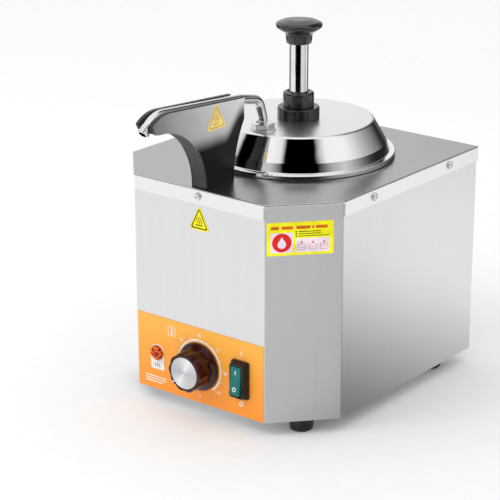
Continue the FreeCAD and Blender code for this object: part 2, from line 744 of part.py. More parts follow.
def cheek_outline(x):
    """Side view of the spout housing as a closed wire at x."""
    back_centre = (SPOUT_BASE_REAR_Y + SPOUT_BACK_R, HEIGHT)
    back = yz_arc(back_centre, SPOUT_BACK_R, 180, back_angle(), x)
    belly = yz_arc(BELLY_CENTRE, BELLY_R, 90, -1.7, x)
    top = [
        V(x, SPOUT_REAR_Y, back.Vertexes[-1].Z), V(x, SPOUT_REAR_Y, SPOUT_TOP_REAR),
        V(x, -206, SPOUT_TOP_FRONT), V(x, -219.5, 299.2), V(x, -214.5, 290.3), belly.Vertexes[0].Point,
    ]
    edges = bent_edges(top, [0, 2, 38, 1.5, 1.5, 0], False)
    foot = Part.LineSegment(belly.Vertexes[-1].Point, back.Vertexes[0].Point).toShape()
    return Part.Wire(Part.__sortEdges__([back, belly, foot] + edges))


def spout_lip(side):
    """Strip along the open edge of one side sheet, which turns in over the channel."""
    outline = cheek_outline(SPOUT_HALF * side)
    border = Part.Face(outline).cut(Part.Face(outline.makeOffset2D(-SPOUT_LIP)))
    strip = border.extrude(V(side * (SPOUT_SLOT_HALF - SPOUT_HALF), 0, 0))
    return strip.common(box((-20, 20), (-300, SPOUT_REAR_Y - SPOUT_SHEET), (292.2, 320)))


def spout_lips():
    """Both lips of the spout housing."""
    return group([spout_lip(-1), spout_lip(1)])


def spout_cheek(side):
    """One side sheet of the spout housing."""
    sheet = Part.Face(cheek_outline(SPOUT_HALF * side)).extrude(V(-side * SPOUT_SHEET, 0, 0))
    return sheet.cut(spout_lip(side)).cut(box((-20, 20), (-300, 0), (HEIGHT - 10, HEIGHT)))


def channel_strip(corners):
    """A strip across the channel, from the corners of its side view in y, z."""
    half = SPOUT_HALF - SPOUT_SHEET
    return slab_x(corners, -half, half)


def curved_strip(centre, radius, thick, start, end):
    """A curved sheet across the channel between two angles."""
    half = SPOUT_HALF - SPOUT_SHEET
    outer = yz_arc(centre, radius + thick, start, end, -half)
    inner = yz_arc(centre, radius, start, end, -half)
    first = Part.LineSegment(outer.Vertexes[0].Point, inner.Vertexes[0].Point).toShape()
    last = Part.LineSegment(outer.Vertexes[-1].Point, inner.Vertexes[-1].Point).toShape()
    wire = Part.Wire(Part.__sortEdges__([outer, first, inner, last]))
    return Part.Face(wire).extrude(V(2 * half, 0, 0))


def spout_belly():
    """Curved sheet that closes the front and underside of the spout housing."""
    strip = curved_strip(BELLY_CENTRE, BELLY_R, SPOUT_SHEET, -1.6, 90)
    y, z = BELLY_CENTRE[0], BELLY_CENTRE[1] + BELLY_R
    nose = channel_strip([(y, z), (-211, 289.6), (-211, 291.1), (y, z + SPOUT_SHEET)])
    return strip.fuse(nose).cut(box((-20, 20), (-300, 0), (HEIGHT - 10, HEIGHT)))


def spout_back():
    """Curved sheet that closes the rear of the spout housing."""
    centre = (SPOUT_BASE_REAR_Y + SPOUT_BACK_R, HEIGHT)
    strip = curved_strip(centre, SPOUT_BACK_R, SPOUT_SHEET, 180, back_angle())
    knee = SPOUT_REAR_Y
    z = HEIGHT + SPOUT_BACK_R * math.sin(math.radians(back_angle()))
    upright = channel_strip([(knee, z), (knee, 287.6), (knee - SPOUT_SHEET, 287.6), (knee - SPOUT_SHEET, z - 0.6)])
    return strip.fuse(upright)


def liner_corners(thick):
    """Side view of the channel's floor, which follows the tube at a fixed distance below it."""
    top = [(SPOUT_REAR_Y - 0.2, 294.7 - LINER_DROP), (-95, 295.5 - LINER_DROP), (-197, 304.4 - LINER_DROP)]
    return top + [(y, z - thick) for y, z in reversed(top)]


def spout_liner():
    """Black floor of the channel, just below the tube."""
    return channel_strip(liner_corners(SPOUT_SHEET))


def spout_heater():
    """Flat heater under the channel's floor, which keeps the tube warm."""
    drop = LINER_DROP + SPOUT_SHEET
    corners = [(-100, 295.8 - drop), (-190, 303.7 - drop), (-190, 300.2 - drop), (-100, 292.3 - drop)]
    return slab_x(corners, -6, 6)


def spout_block():
    """Block inside the foot of the spout housing that its screws bite into."""
    block = box((-7.9, 7.9), (-137, -107), (HEIGHT, BLOCK_TOP))
    for y in SPOUT_SCREW_Y:
        block = block.cut(rod_between(SCREW_HOLE_R, (0, y, HEIGHT - 1), (0, y, BLOCK_TOP + 1)))
    return block


def spout_screws():
    """Screws up through the top plate into the block."""
    return group([pan_screw((0, y, HEIGHT - SHEET), (0, 0, -1), 7) for y in SPOUT_SCREW_Y])


# ---- food pot, lid and pump ---------------------------------------------------------------

def food_pot():
    """Drop-in pot with a flange that rests on the top plate and a rolled bead round it."""
    wall = turned([
        (0, POT_BOTTOM), (POT_R, POT_BOTTOM, 14), (POT_R, POT_REST, 1), (POT_RIM_R, POT_REST),
        (POT_RIM_R, POT_REST + 1), (POT_R - 1, POT_REST + 1, 2), (POT_R - 1, POT_BOTTOM + 1, 13),
        (0, POT_BOTTOM + 1),
    ])
    bead = Part.makeTorus(POT_RIM_R, POT_BEAD_R, V(0, POT_Y, POT_REST + POT_BEAD_R), Z_AXIS)
    return wall.fuse(bead)


def lid():
    """Domed lid with a deep lip over the pot's bead, and holes for the pump and the riser."""
    under = LID_TOP - 1
    shell = turned([
        (COLLAR_R + 0.2, LID_TOP), (74.9, LID_TOP, 4), (88.3, 234, 5), (91.3, 225, 0.8), (LID_R, 225, 1.2),
        (LID_R, 220.6, 0.3), (LID_R - 1, 220.6, 0.3), (LID_R - 1, 224, 0.3), (90.4, 224, 0.8), (87.3, 233.7, 4),
        (74.3, under, 3), (COLLAR_R + 0.2, under),
    ])
    return shell.cut(rod_between(7.2, (0, RISER_Y, under - 2), (0, RISER_Y, LID_TOP + 2)))


def pump_lock_nut():
    """Nut that clamps the pump to the lid, with grooves round it for the fingers."""
    nut = turned([
        (COLLAR_R + 0.1, LID_TOP), (LOCK_NUT_R, LID_TOP, 0.8), (LOCK_NUT_R, LOCK_NUT_TOP, 1.5),
        (COLLAR_R + 0.1, LOCK_NUT_TOP),
    ])
    for i in range(LOCK_NUT_GROOVES):
        angle = 2 * math.pi * i / LOCK_NUT_GROOVES
        x, y = 22.1 * math.cos(angle), POT_Y + 22.1 * math.sin(angle)
        nut = nut.cut(rod_between(1.6, (x, y, LID_TOP - 1), (x, y, LOCK_NUT_TOP + 1)))
    return nut


def pump_head():
    """Guide for the rod: collar above the lid, spigot in the cylinder, and sleeve that stops the piston."""
    under = LID_TOP - 1
    sleeve_bottom = PISTON_TOP + 0.3
    spigot_bottom = CYLINDER_TOP - 11
    return turned([
        (GUIDE_R, sleeve_bottom), (SLEEVE_R, sleeve_bottom), (SLEEVE_R, spigot_bottom),
        (BARREL_R - 0.1, spigot_bottom), (BARREL_R - 0.1, CYLINDER_TOP),
        (20, CYLINDER_TOP), (20, under), (COLLAR_R, under), (COLLAR_R, COLLAR_TOP, 2.2),
        (12, COLLAR_TOP, 0.8), (GUIDE_R, COLLAR_TOP - 1.6),
    ])


def pump_cylinder():
    """Barrel of the pump, with weep holes near its top and an outlet near its foot."""
    barrel = ring(CYLINDER_R, BARREL_R, CYLINDER_BOTTOM, CYLINDER_TOP)
    barrel = barrel.cut(rod_between(2.5, (-30, POT_Y, 228), (30, POT_Y, 228)))
    return barrel.cut(rod_between(TUBE_BORE_R, (0, POT_Y, PORT_Z), (0, POT_Y - 30, PORT_Z)))


def foot_valve():
    """Foot of the pump: cup for the cylinder, chamber and seat for the ball, port for the riser."""
    cup = CYLINDER_BOTTOM
    body = turned([
        (5, VALVE_BOTTOM), (VALVE_R, VALVE_BOTTOM, 1.5), (VALVE_R, cup + 16, 1), (CYLINDER_R + 0.1, cup + 16),
        (CYLINDER_R + 0.1, cup), (BALL_R + 1, cup), (BALL_R + 1, VALVE_BOTTOM + 6), (5, VALVE_BOTTOM + 3),
    ])
    front = POT_Y - VALVE_R
    boss = rod_between(7, (0, front + 1, PORT_Z), (0, front - 8, PORT_Z))
    boss = boss.cut(ring(CYLINDER_R + 1, 0, cup, cup + 20))
    body = body.fuse(boss)
    body = body.cut(rod_between(TUBE_BORE_R, (0, POT_Y - 12, PORT_Z), (0, front - 9, PORT_Z)))
    return body.cut(rod_between(TUBE_R + 0.1, (0, front - 2, PORT_Z), (0, front - 9, PORT_Z)))


def ball_cage():
    """Cage that stops the ball from leaving its chamber, and seat for the spring."""
    low = CYLINDER_BOTTOM
    cage = ring(15, 8.6, low, low + 1.5)
    cap = ring(11.4, 0, low + 5, low + 6.5)
    for i in range(3):
        angle = math.radians(30 + 120 * i)
        x, y = 10 * math.cos(angle), POT_Y + 10 * math.sin(angle)
        cage = cage.fuse(rod_between(1, (x, y, low + 0.5), (x, y, low + 6)))
        cap = cap.cut(rod_between(2, (x * 0.5, (y + POT_Y) / 2, low), (x * 0.5, (y + POT_Y) / 2, low + 9)))
    return cage.fuse(cap)


def valve_ball():
    """Steel ball that closes the inlet on the down stroke."""
    return Part.makeSphere(BALL_R, V(0, POT_Y, BALL_Z))


def pump_rod():
    """Polished tube between the knob and the piston."""
    return ring(ROD_R, ROD_BORE_R, PISTON_TOP, KNOB_SOCKET_TOP - 0.2)


def pump_knob():
    """Mushroom knob for the palm."""
    rim = KNOB_TOP - 8.6
    return turned([
        (ROD_R + 0.05, KNOB_BOTTOM), (12.4, KNOB_BOTTOM, 0.6), (13.0, KNOB_BOTTOM + 4, 6),
        (13.4, rim - 5, 5), (KNOB_R - 2, rim - 0.4, 2), (KNOB_R - 0.3, rim + 1.4, 1),
        (KNOB_R, rim + 4.4, 1.2), (KNOB_R - 3.6, rim + 6.4, 4), (10, KNOB_TOP, 24), (0, KNOB_TOP),
        (0, KNOB_SOCKET_TOP), (ROD_R + 0.05, KNOB_SOCKET_TOP),
    ])


def pump_piston():
    """Piston with a spigot up the rod and a groove for its seal."""
    return turned([
        (0, PISTON_BOTTOM), (PISTON_R, PISTON_BOTTOM, 0.8), (PISTON_R, 164), (12.6, 164), (12.6, 168),
        (PISTON_R, 168), (PISTON_R, PISTON_TOP, 0.8), (ROD_BORE_R - 0.1, PISTON_TOP),
        (ROD_BORE_R - 0.1, PISTON_TOP + 12, 1), (0, PISTON_TOP + 12),
    ])


def piston_seal():
    """Rubber ring in the piston's groove."""
    return turned([(12.7, 164.1), (14.95, 164.1, 0.8), (14.95, 167.9, 0.8), (12.7, 167.9)])


def pump_spring():
    """Return spring between the cage and the piston, each half turn being a tilted half circle."""
    low = CYLINDER_BOTTOM + 1.5 + SPRING_WIRE_R + 0.1
    high = PISTON_BOTTOM - SPRING_WIRE_R - 0.1
    rise = (high - low) / (2 * SPRING_COILS)
    tilted_r = math.hypot(SPRING_R, rise / 2)
    turns = []
    for i in range(2 * SPRING_COILS):
        side = 1 - 2 * (i % 2)
        z = low + i * rise
        start = V(side * SPRING_R, POT_Y, z)
        middle = V(0, POT_Y + side * tilted_r, z + rise / 2)
        turns.append(Part.Arc(start, middle, V(-side * SPRING_R, POT_Y, z + rise)).toShape())
    section = Part.Wire(Part.Circle(V(SPRING_R, POT_Y, low), Y_AXIS, SPRING_WIRE_R).toShape())
    return Part.Wire(turns).makePipeShell([section], True, False)


def riser_pipe():
    """Pipe from the foot valve up to the lid, with a flanged ferrule through it."""
    start = POT_Y - VALVE_R - 2.2
    route = [(0, start, PORT_Z), (0, RISER_Y, PORT_Z), (0, RISER_Y, RISER_TOP)]
    tube = pipe(route, [0, 15, 0], TUBE_R, TUBE_BORE_R)
    ferrule = turned([
        (TUBE_R - 0.2, 249), (6.8, 249), (6.8, 252.7), (9.5, 252.7), (9.5, LID_TOP - 1), (6.8, LID_TOP - 1),
        (6.8, RISER_TOP), (TUBE_R - 0.2, RISER_TOP),
    ], (0, RISER_Y))
    return tube.fuse(ferrule)


def tube_washer():
    """Washer between the lid and the tube's nut."""
    return ring(13, 7, LID_TOP, LID_TOP + 1.2, (0, RISER_Y))


def tube_nut():
    """Hexagonal nut that holds the discharge tube on the ferrule."""
    low = LID_TOP + 1.2
    nut = round_hex(21, 0, 6, 0.8).cut(Part.makeCylinder(6.9, RISER_TOP - low + 0.3))
    nut = nut.cut(Part.makeCylinder(TUBE_R + 0.4, 12))
    return aimed(nut, (0, RISER_Y, low), (0, 0, 1))


def discharge_tube():
    """Polished tube from the lid, forward along the spout housing and down to the nozzle."""
    points = [(0, y, z) for y, z, _ in TUBE_ROUTE]
    return pipe(points, [radius for _, _, radius in TUBE_ROUTE], TUBE_R, TUBE_BORE_R)


def nozzle():
    """Ferrule at the tip of the discharge tube, with a bead round its mouth."""
    end = V(0, *TUBE_ROUTE[-1][:2])
    heading = (end - V(0, *TUBE_ROUTE[-2][:2])).normalize()
    inside = TUBE_R + 0.05
    tip = turned([
        (inside, 0), (NOZZLE_R - 0.4, 0, 0.3), (NOZZLE_R - 0.4, 4.5, 0.3), (NOZZLE_R, 5.2, 0.3),
        (NOZZLE_R, NOZZLE_LENGTH, 0.6), (TUBE_BORE_R, NOZZLE_LENGTH, 0.4), (TUBE_BORE_R, 4.2), (inside, 4.2),
    ], (0, 0))
    return aimed(tip, end - heading * 4, heading)


PARTS = {
    "shell_wrap": shell_wrap,
    "top_plate": top_plate,
    "rear_panel": rear_panel,
    "base_plate": base_plate,
    "rubber_feet": rubber_feet,
    "foot_screws": foot_screws,
    "foot_nuts": foot_nuts,
    "top_plate_screws": lambda: group([pan_screw(at, axis, 7) for at, axis in flange_screw_places()]),
    "rear_panel_screws": lambda: group([pan_screw(at, axis, 7) for at, axis in panel_screw_places()]),
    "control_overlay": control_overlay,
    "hot_stickers": hot_stickers,
    "water_sticker": water_sticker,
    "thermostat_knob": thermostat_knob,
    "dial_cap": dial_cap,
    "thermostat_shaft": thermostat_shaft,
    "thermostat_body": thermostat_body,
    "thermostat_screws": thermostat_screws,
    "thermostat_bulb": thermostat_bulb,
    "indicator_label": indicator_label,
    "indicator_lens": indicator_lens,
    "indicator_body": indicator_body,
    "switch_body": switch_body,
    "switch_rocker": switch_rocker,
    "water_pan": water_pan,
    "heater_plate": heater_plate,
    "heating_element": heating_element,
    "heater_clamp": heater_clamp,
    "heater_stud": heater_stud,
    "overheat_cutout": overheat_cutout,
    "terminal_block": terminal_block,
    "wiring_harness": wiring_harness,
    "cable_gland": cable_gland,
    "gland_locknut": gland_locknut,
    "spout_cheek_left": lambda: spout_cheek(-1),
    "spout_cheek_right": lambda: spout_cheek(1),
    "spout_lips": spout_lips,
    "spout_belly": spout_belly,
    "spout_back": spout_back,
    "spout_liner": spout_liner,
    "spout_heater": spout_heater,
    "spout_block": spout_block,
    "spout_screws": spout_screws,
    "food_pot": food_pot,
    "lid": lid,
    "pump_lock_nut": pump_lock_nut,
    "pump_head": pump_head,
    "pump_cylinder": pump_cylinder,
    "foot_valve": foot_valve,
    "ball_cage": ball_cage,
    "valve_ball": valve_ball,
    "pump_rod": pump_rod,
    "pump_knob": pump_knob,
    "pump_piston": pump_piston,
    "piston_seal": piston_seal,
    "pump_spring": pump_spring,
    "riser_pipe": riser_pipe,
    "tube_washer": tube_washer,
    "tube_nut": tube_nut,
    "discharge_tube": discharge_tube,
    "nozzle": nozzle,
}

os.makedirs("parts", exist_ok=True)
for part_name, make in PARTS.items():
    save(part_name, make())
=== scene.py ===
"""Looks of the nacho cheese dispenser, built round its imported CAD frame.

Lengths are millimetres in the casing's own frame (x = 0 is its middle, y = 0 half-way from its front
to its rear, z = 0 its underside), and spot() turns a point into metres in the row frame.
"""
import json
import math

import bmesh
import bpy
from mathutils import Matrix, Vector

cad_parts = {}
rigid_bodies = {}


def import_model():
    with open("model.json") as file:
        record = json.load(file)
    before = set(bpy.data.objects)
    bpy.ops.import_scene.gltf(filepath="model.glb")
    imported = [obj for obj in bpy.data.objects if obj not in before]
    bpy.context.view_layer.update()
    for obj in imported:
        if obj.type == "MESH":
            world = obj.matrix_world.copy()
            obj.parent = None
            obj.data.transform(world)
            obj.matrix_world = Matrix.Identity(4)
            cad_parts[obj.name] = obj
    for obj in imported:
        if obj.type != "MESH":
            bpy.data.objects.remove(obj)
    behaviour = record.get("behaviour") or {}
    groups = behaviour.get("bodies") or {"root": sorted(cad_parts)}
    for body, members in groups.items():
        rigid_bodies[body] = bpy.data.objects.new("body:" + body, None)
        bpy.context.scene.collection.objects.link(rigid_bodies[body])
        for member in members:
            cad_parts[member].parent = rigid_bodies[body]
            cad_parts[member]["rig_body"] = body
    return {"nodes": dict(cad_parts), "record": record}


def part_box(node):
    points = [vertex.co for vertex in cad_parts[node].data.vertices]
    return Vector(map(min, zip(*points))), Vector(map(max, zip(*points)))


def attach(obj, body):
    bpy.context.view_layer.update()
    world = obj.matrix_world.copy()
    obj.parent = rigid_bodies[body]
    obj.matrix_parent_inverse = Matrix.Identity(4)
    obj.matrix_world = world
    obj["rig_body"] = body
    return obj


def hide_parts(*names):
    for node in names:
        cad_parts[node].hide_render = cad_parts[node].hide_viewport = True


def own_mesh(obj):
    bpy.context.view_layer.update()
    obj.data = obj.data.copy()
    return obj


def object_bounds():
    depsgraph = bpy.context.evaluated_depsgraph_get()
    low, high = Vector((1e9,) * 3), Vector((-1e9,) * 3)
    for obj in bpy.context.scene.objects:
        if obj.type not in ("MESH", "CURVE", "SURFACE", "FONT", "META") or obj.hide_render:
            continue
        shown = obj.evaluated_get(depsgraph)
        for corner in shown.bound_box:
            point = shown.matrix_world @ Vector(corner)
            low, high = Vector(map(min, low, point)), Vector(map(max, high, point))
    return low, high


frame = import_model()
CAD_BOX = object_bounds()

MM = 0.001
X, Y, Z = Vector((1, 0, 0)), Vector((0, 1, 0)), Vector((0, 0, 1))
INK = 0.06                  # how far printing and marks stand out of what they are on, in mm
FILM = 0.25                 # how far a sticker stands out of the sheet under it, in mm

SHELL_LOW, SHELL_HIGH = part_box("shell_wrap")
CASING = Vector(((SHELL_LOW.x + SHELL_HIGH.x) / 2, (SHELL_LOW.y + SHELL_HIGH.y) / 2, SHELL_LOW.z))

# View of the object: azimuth from the front and elevation, in degrees
VIEW_AZIMUTH = 38.4
VIEW_ELEVATION = 19.22
CAMERA_AT = Vector((1143.8, -1507.4, 786.5))
LENS = 142.2                # on a 36 mm sensor
SHIFT_Y = -0.0143

# Dial and panel in mm; angles in degrees, 0 to the right and 90 up
GRIP_R = 20.0
FLUTES = 10
FLUTE_DEPTH = 1.35
DISC_R = 16.4
POINTER_ANGLE = 221.0
SCALE_NUMBERS = ((135, "30"), (90, "50"), (45, "70"), (0, "90"), (-45, "110"))
SCALE_DOTS = (112.5, 67.5, 22.5, -22.5)
ICON_U, ICON_V = -35.4, 66.6        # middle of the thermometer picture
PANEL_RULES = (27.0, 27.0, 22.0)    # lengths of the plain lines at the panel's foot

# Oblong sticker: the chamfer's front edge and direction, and the bars in place of a title along it
CHAMFER_FRONT = (80, -143, 0)
CHAMFER_DIRECTION = Vector((50, 55, 0)).normalized()
TITLE_BARS = ((5.4, 13.0), (15.8, 26.4), (29.6, 43.0), (44.6, 46.4), (48.0, 59.2))

# Return spring
SPRING_WIRE_R = 0.9
SPRING_COILS = 8
SPRING_STEPS = 40           # straight pieces in each coil

# Painted sheen on the dial's turned aluminium disc: bright and dull sectors painted into its colour, as (part
# of a turn, brightness)
PAINTED_CAP_SHEEN = (
    (0.0, 0.62), (0.09, 0.74), (0.16, 0.98), (0.24, 0.8), (0.36, 0.72), (0.5, 0.66), (0.6, 0.8), (0.68, 1.0),
    (0.76, 0.86), (0.88, 0.7), (1.0, 0.62),
)

# Glowing card under the casing: its radius in mm
CARD_RADIUS = 1060
# What the casing's side reflects, as (y in the casing's millimetres, brightness)
BESIDE = (
    (-520, 0.74), (-300, 0.63), (-160, 0.58), (-48, 0.22), (8, 0.3), (120, 0.53), (218, 0.76), (320, 1.0),
)

# Brightness of the room as (degrees round from the camera, the right being positive, value): what
# upright polish such as the rod reflects, what the lid's foot does and what the lid's slope does
PANELS_UPRIGHT = [
    (-180, 0.25), (-125, 0.15), (-114, 0.5), (-102, 0.95), (-56, 1.0), (-47, 0.85), (-41, 0.0), (19, 0.0),
    (25, 0.55), (38, 0.85), (72, 0.7), (92, 0.4), (98, 1.0), (110, 1.0), (118, 0.15), (180, 0.25),
]
PANELS_LOW = [
    (-180, 0.25), (-120, 0.5), (-96, 0.9), (-90, 0.2), (-84, 0.0), (-71, 0.0), (-60, 0.3), (-50, 0.6),
    (-38, 0.6), (-29, 0.28), (-21, 0.0), (24, 0.0), (32, 0.16), (42, 0.42), (60, 0.66), (72, 0.46),
    (82, 0.29), (91, 0.15), (101, 0.055), (112, 0.018), (146, 0.02), (180, 0.25),
]
PANELS_HIGH = [
    (-180, 1.0), (-110, 0.95), (-96, 0.75), (-91, 0.0), (-71, 0.0), (-62, 0.5), (-55, 0.97), (-42, 1.0),
    (-28, 0.84), (-21, 0.0), (25, 0.0), (33, 0.6), (42, 0.97), (70, 1.0), (79, 0.9), (88, 0.76), (97, 0.58),
    (114, 0.34), (130, 0.16), (139, 0.08), (146, 0.015), (153, 0.1), (166, 0.8), (180, 1.0),
]


def spot(x, y, z):
    """A point of the casing's frame, in metres in the row frame."""
    return CASING + Vector((x, y, z)) * MM


def middle(node):
    """Middle of a CAD node's box, as millimetres in the casing's frame."""
    low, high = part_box(node)
    return ((low + high) / 2 - CASING) / MM


def face_of(node, axis, side):
    """Where a CAD node's box ends along an axis (0, 1 or 2), in the casing's millimetres."""
    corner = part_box(node)[1 if side > 0 else 0]
    return (corner[axis] - CASING[axis]) / MM


# ---- materials ----------------------------------------------------------------------------

def linear(red, green, blue):
    """A colour given as 0 to 255 on a screen, as scene-linear values."""
    channels = [c / 255 for c in (red, green, blue)]
    return tuple(c / 12.92 if c <= 0.04045 else ((c + 0.055) / 1.055) ** 2.4 for c in channels) + (1,)


def grey(level):
    return (level, level, level, 1)


def shade(colour, factor):
    """A colour made darker or lighter."""
    return tuple(min(1, c * factor) for c in colour[:3]) + (1,)


class Nodes:
    """The nodes of a material or of the world, with short calls for the kinds used here."""

    def __init__(self, owner, coordinates):
        owner.use_nodes = True
        self.nodes = owner.node_tree.nodes
        self.links = owner.node_tree.links
        self.coordinates = self.nodes.new("ShaderNodeTexCoord").outputs[coordinates]

    def join(self, source, target):
        """Links a socket to another, or sets the other to a plain value."""
        if isinstance(source, bpy.types.NodeSocket):
            self.links.new(source, target)
        else:
            target.default_value = source

    def ramp(self, factor, stops):
        """Colours along a factor, from (place, colour) pairs."""
        node = self.nodes.new("ShaderNodeValToRGB")
        elements = node.color_ramp.elements
        while len(elements) < len(stops):
            elements.new(0.5)
        for element, (place, colour) in zip(elements, stops):
            element.position = place
            element.color = colour
        self.join(factor, node.inputs["Fac"])
        return node.outputs["Color"]

    def between(self, factor, low, high, start=0.0, end=1.0, smooth=False):
        """A factor's stretch from start to end, turned into low to high."""
        node = self.nodes.new("ShaderNodeMapRange")
        node.interpolation_type = "SMOOTHSTEP" if smooth else "LINEAR"
        for key, value in (("From Min", start), ("From Max", end), ("To Min", low), ("To Max", high)):
            node.inputs[key].default_value = value
        self.join(factor, node.inputs["Value"])
        return node.outputs["Result"]

    def calc(self, operation, first, second):
        """A Math node; second is a socket or a number."""
        node = self.nodes.new("ShaderNodeMath")
        node.operation = operation
        self.join(first, node.inputs[0])
        self.join(second, node.inputs[1])
        return node.outputs["Value"]

    def mix(self, factor, first, second, kind="MIX"):
        """A colour mix; factor, first and second are sockets or values."""
        node = self.nodes.new("ShaderNodeMix")
        node.data_type = "RGBA"
        node.blend_type = kind
        for key, value in ((0, factor), (6, first), (7, second)):
            self.join(value, node.inputs[key])
        return node.outputs[2]

    def dot(self, direction):
        """How far the coordinates point along a direction."""
        node = self.nodes.new("ShaderNodeVectorMath")
        node.operation = "DOT_PRODUCT"
        node.inputs[1].default_value = direction
        self.join(self.coordinates, node.inputs[0])
        return node.outputs["Value"]


class Finish(Nodes):
    """A Principled material over object coordinates, and short calls for what feeds it."""

    def __init__(self, name, **sockets):
        self.material = bpy.data.materials.new(name)
        super().__init__(self.material, "Object")
        self.shader = self.nodes["Principled BSDF"]
        for key, value in sockets.items():
            self.shader.inputs[key.replace("_", " ")].default_value = value

    def feed(self, source, socket):
        self.join(source, self.shader.inputs[socket])

    def mapped(self, scale, offset=(0, 0, 0)):
        """Object coordinates times a scale for each axis."""
        node = self.nodes.new("ShaderNodeMapping")
        node.inputs["Scale"].default_value = scale
        node.inputs["Location"].default_value = offset
        self.join(self.coordinates, node.inputs["Vector"])
        return node.outputs["Vector"]

    def noise(self, scale, detail=2.0):
        """Noise over object coordinates; scale is one number, or one for each axis."""
        if not isinstance(scale, tuple):
            scale = (scale, scale, scale)
        node = self.nodes.new("ShaderNodeTexNoise")
        node.inputs["Scale"].default_value = 1
        node.inputs["Detail"].default_value = detail
        self.join(self.mapped(scale), node.inputs["Vector"])
        return node.outputs["Fac"]

    def along(self, axis):
        """One object coordinate, 0, 1 or 2."""
        node = self.nodes.new("ShaderNodeSeparateXYZ")
        self.join(self.coordinates, node.inputs["Vector"])
        return node.outputs[axis]

    def distance(self, centre, axes):
        """Distance in metres from a line through centre; axes holds 0 for the line's own direction."""
        node = self.nodes.new("ShaderNodeVectorMath")
        node.operation = "LENGTH"
        offset = tuple(-c * a for c, a in zip(centre, axes))
        self.join(self.mapped(axes, offset), node.inputs[0])
        return node.outputs["Value"]

    def rings(self, centre, axes, scale):
        """Fine noise that changes only with the distance from a line through centre."""
        node = self.nodes.new("ShaderNodeTexNoise")
        node.noise_dimensions = "1D"
        node.inputs["Scale"].default_value = scale
        node.inputs["Detail"].default_value = 2
        self.join(self.distance(centre, axes), node.inputs["W"])
        return node.outputs["Fac"]

    def bump(self, height, depth, strength=1.0):
        """Relief from a height factor; depth is in millimetres."""
        node = self.nodes.new("ShaderNodeBump")
        node.inputs["Strength"].default_value = strength
        node.inputs["Distance"].default_value = depth * MM
        self.join(height, node.inputs["Height"])
        self.feed(node.outputs["Normal"], "Normal")


def brushed_steel(name, tint, grain, roughness=(0.28, 0.34), depth=0.003, above=None):
    """Sheet steel with a fine grain; grain gives the noise's frequency along each axis, per metre.

    above is a height in the row frame and a darker colour painted on the steel from there up, as a painted
    shade."""
    finish = Finish(name, Metallic=1.0, Anisotropic=0.3)
    fine = finish.noise(grain, detail=3)
    streaks = finish.noise(tuple(g * 0.16 for g in grain), detail=2)
    smears = finish.noise(7.0, detail=2)
    mixed = finish.calc("ADD", finish.calc("MULTIPLY", fine, 0.7), finish.calc("MULTIPLY", streaks, 0.3))
    colour = finish.ramp(mixed, [(0.36, shade(tint, 0.98)), (0.5, tint), (0.64, shade(tint, 1.01))])
    if above is not None:
        height, painted_shade_colour = above
        # Painted shade: from the given height up, the colour is swapped for the darker one
        below = finish.between(finish.along(2), 1, 0, height - 0.5 * MM, height)
        colour = finish.mix(below, painted_shade_colour, colour)
    finish.feed(colour, "Base Color")
    worn = finish.calc("ADD", finish.calc("MULTIPLY", fine, 0.6), finish.calc("MULTIPLY", smears, 0.4))
    finish.feed(finish.between(worn, *roughness, start=0.35, end=0.65), "Roughness")
    finish.bump(fine, depth, 0.5)
    return finish


def polished_steel(name, tint=(0.86, 0.86, 0.87, 1), roughness=(0.03, 0.07), metallic=1.0):
    """Mirror-bright steel with faint handling marks."""
    finish = Finish(name, Metallic=metallic)
    haze = finish.noise(22.0, detail=4)
    finish.feed(finish.between(haze, *roughness, start=0.4, end=0.65), "Roughness")
    fine = finish.noise(900.0, detail=1)
    marks = finish.noise(60.0, detail=3)
    finish.feed(finish.ramp(marks, [(0.4, shade(tint, 0.93)), (0.6, tint)]), "Base Color")
    finish.bump(fine, 0.0008, 0.3)
    return finish


def lid_steel():
    """Lid: a mirror on its slope and lip, and a fine satin disc on top with turned rings."""
    finish = Finish("lid_steel", Metallic=1.0)
    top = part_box("lid")[1].z
    on_disc = finish.between(finish.along(2), 0, 1, top - 1.2 * MM, top - 0.3 * MM)
    rings = finish.rings(spot(0, middle("lid").y, 0), (1, 1, 0), 1400)
    haze = finish.noise(16.0, detail=3)
    satin = finish.between(rings, 0.26, 0.34, 0.35, 0.65)
    mirror = finish.between(haze, 0.025, 0.06, 0.4, 0.65)
    finish.feed(finish.mix(on_disc, mirror, satin), "Roughness")
    finish.feed(finish.mix(on_disc, (0.88, 0.88, 0.89, 1), (0.84, 0.84, 0.85, 1)), "Base Color")
    finish.bump(finish.calc("MULTIPLY", rings, on_disc), 0.002, 0.5)
    return finish


def painted_shade_sheet(name):
    """Spout sheet with painted light and shade: polished above a line that climbs towards its rear edge,
    painted lighter towards that edge, and painted near-black below the line.
    """
    finish = Finish(name, Metallic=0.35, Specular_IOR_Level=0.3, Coat_Weight=0.1, Coat_Roughness=0.15)
    low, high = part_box("spout_cheek_right")
    tall = high.z - low.z
    cloud = finish.calc("MULTIPLY", finish.noise(26.0, detail=3), 0.003)
    climb = finish.between(finish.along(1), 0, 0.26 * tall, high.y - 30 * MM, high.y - 2 * MM, smooth=True)
    height = finish.calc("SUBTRACT", finish.calc("ADD", finish.along(2), cloud), climb)
    clear_of_painted_shade = finish.between(height, 0, 1, low.z + 0.46 * tall, low.z + 0.66 * tall, smooth=True)
    lengthways = finish.between(finish.along(1), 0, 1, low.y, high.y)
    # Painted light along the sheet: dark at its front end, lighter towards its rear edge
    bright = finish.ramp(lengthways, [
        (0.0, grey(0.17)), (0.5, (0.5, 0.5, 0.51, 1)), (1.0, (0.8, 0.8, 0.81, 1)),
    ])
    # Below the line the colour is a painted near-black shade
    finish.feed(finish.mix(clear_of_painted_shade, grey(0.006), bright), "Base Color")
    finish.feed(finish.between(finish.noise(45.0, detail=4), 0.22, 0.3, 0.35, 0.65), "Roughness")
    finish.bump(finish.noise((500.0, 200.0, 900.0), detail=2), 0.003, 0.3)
    return finish


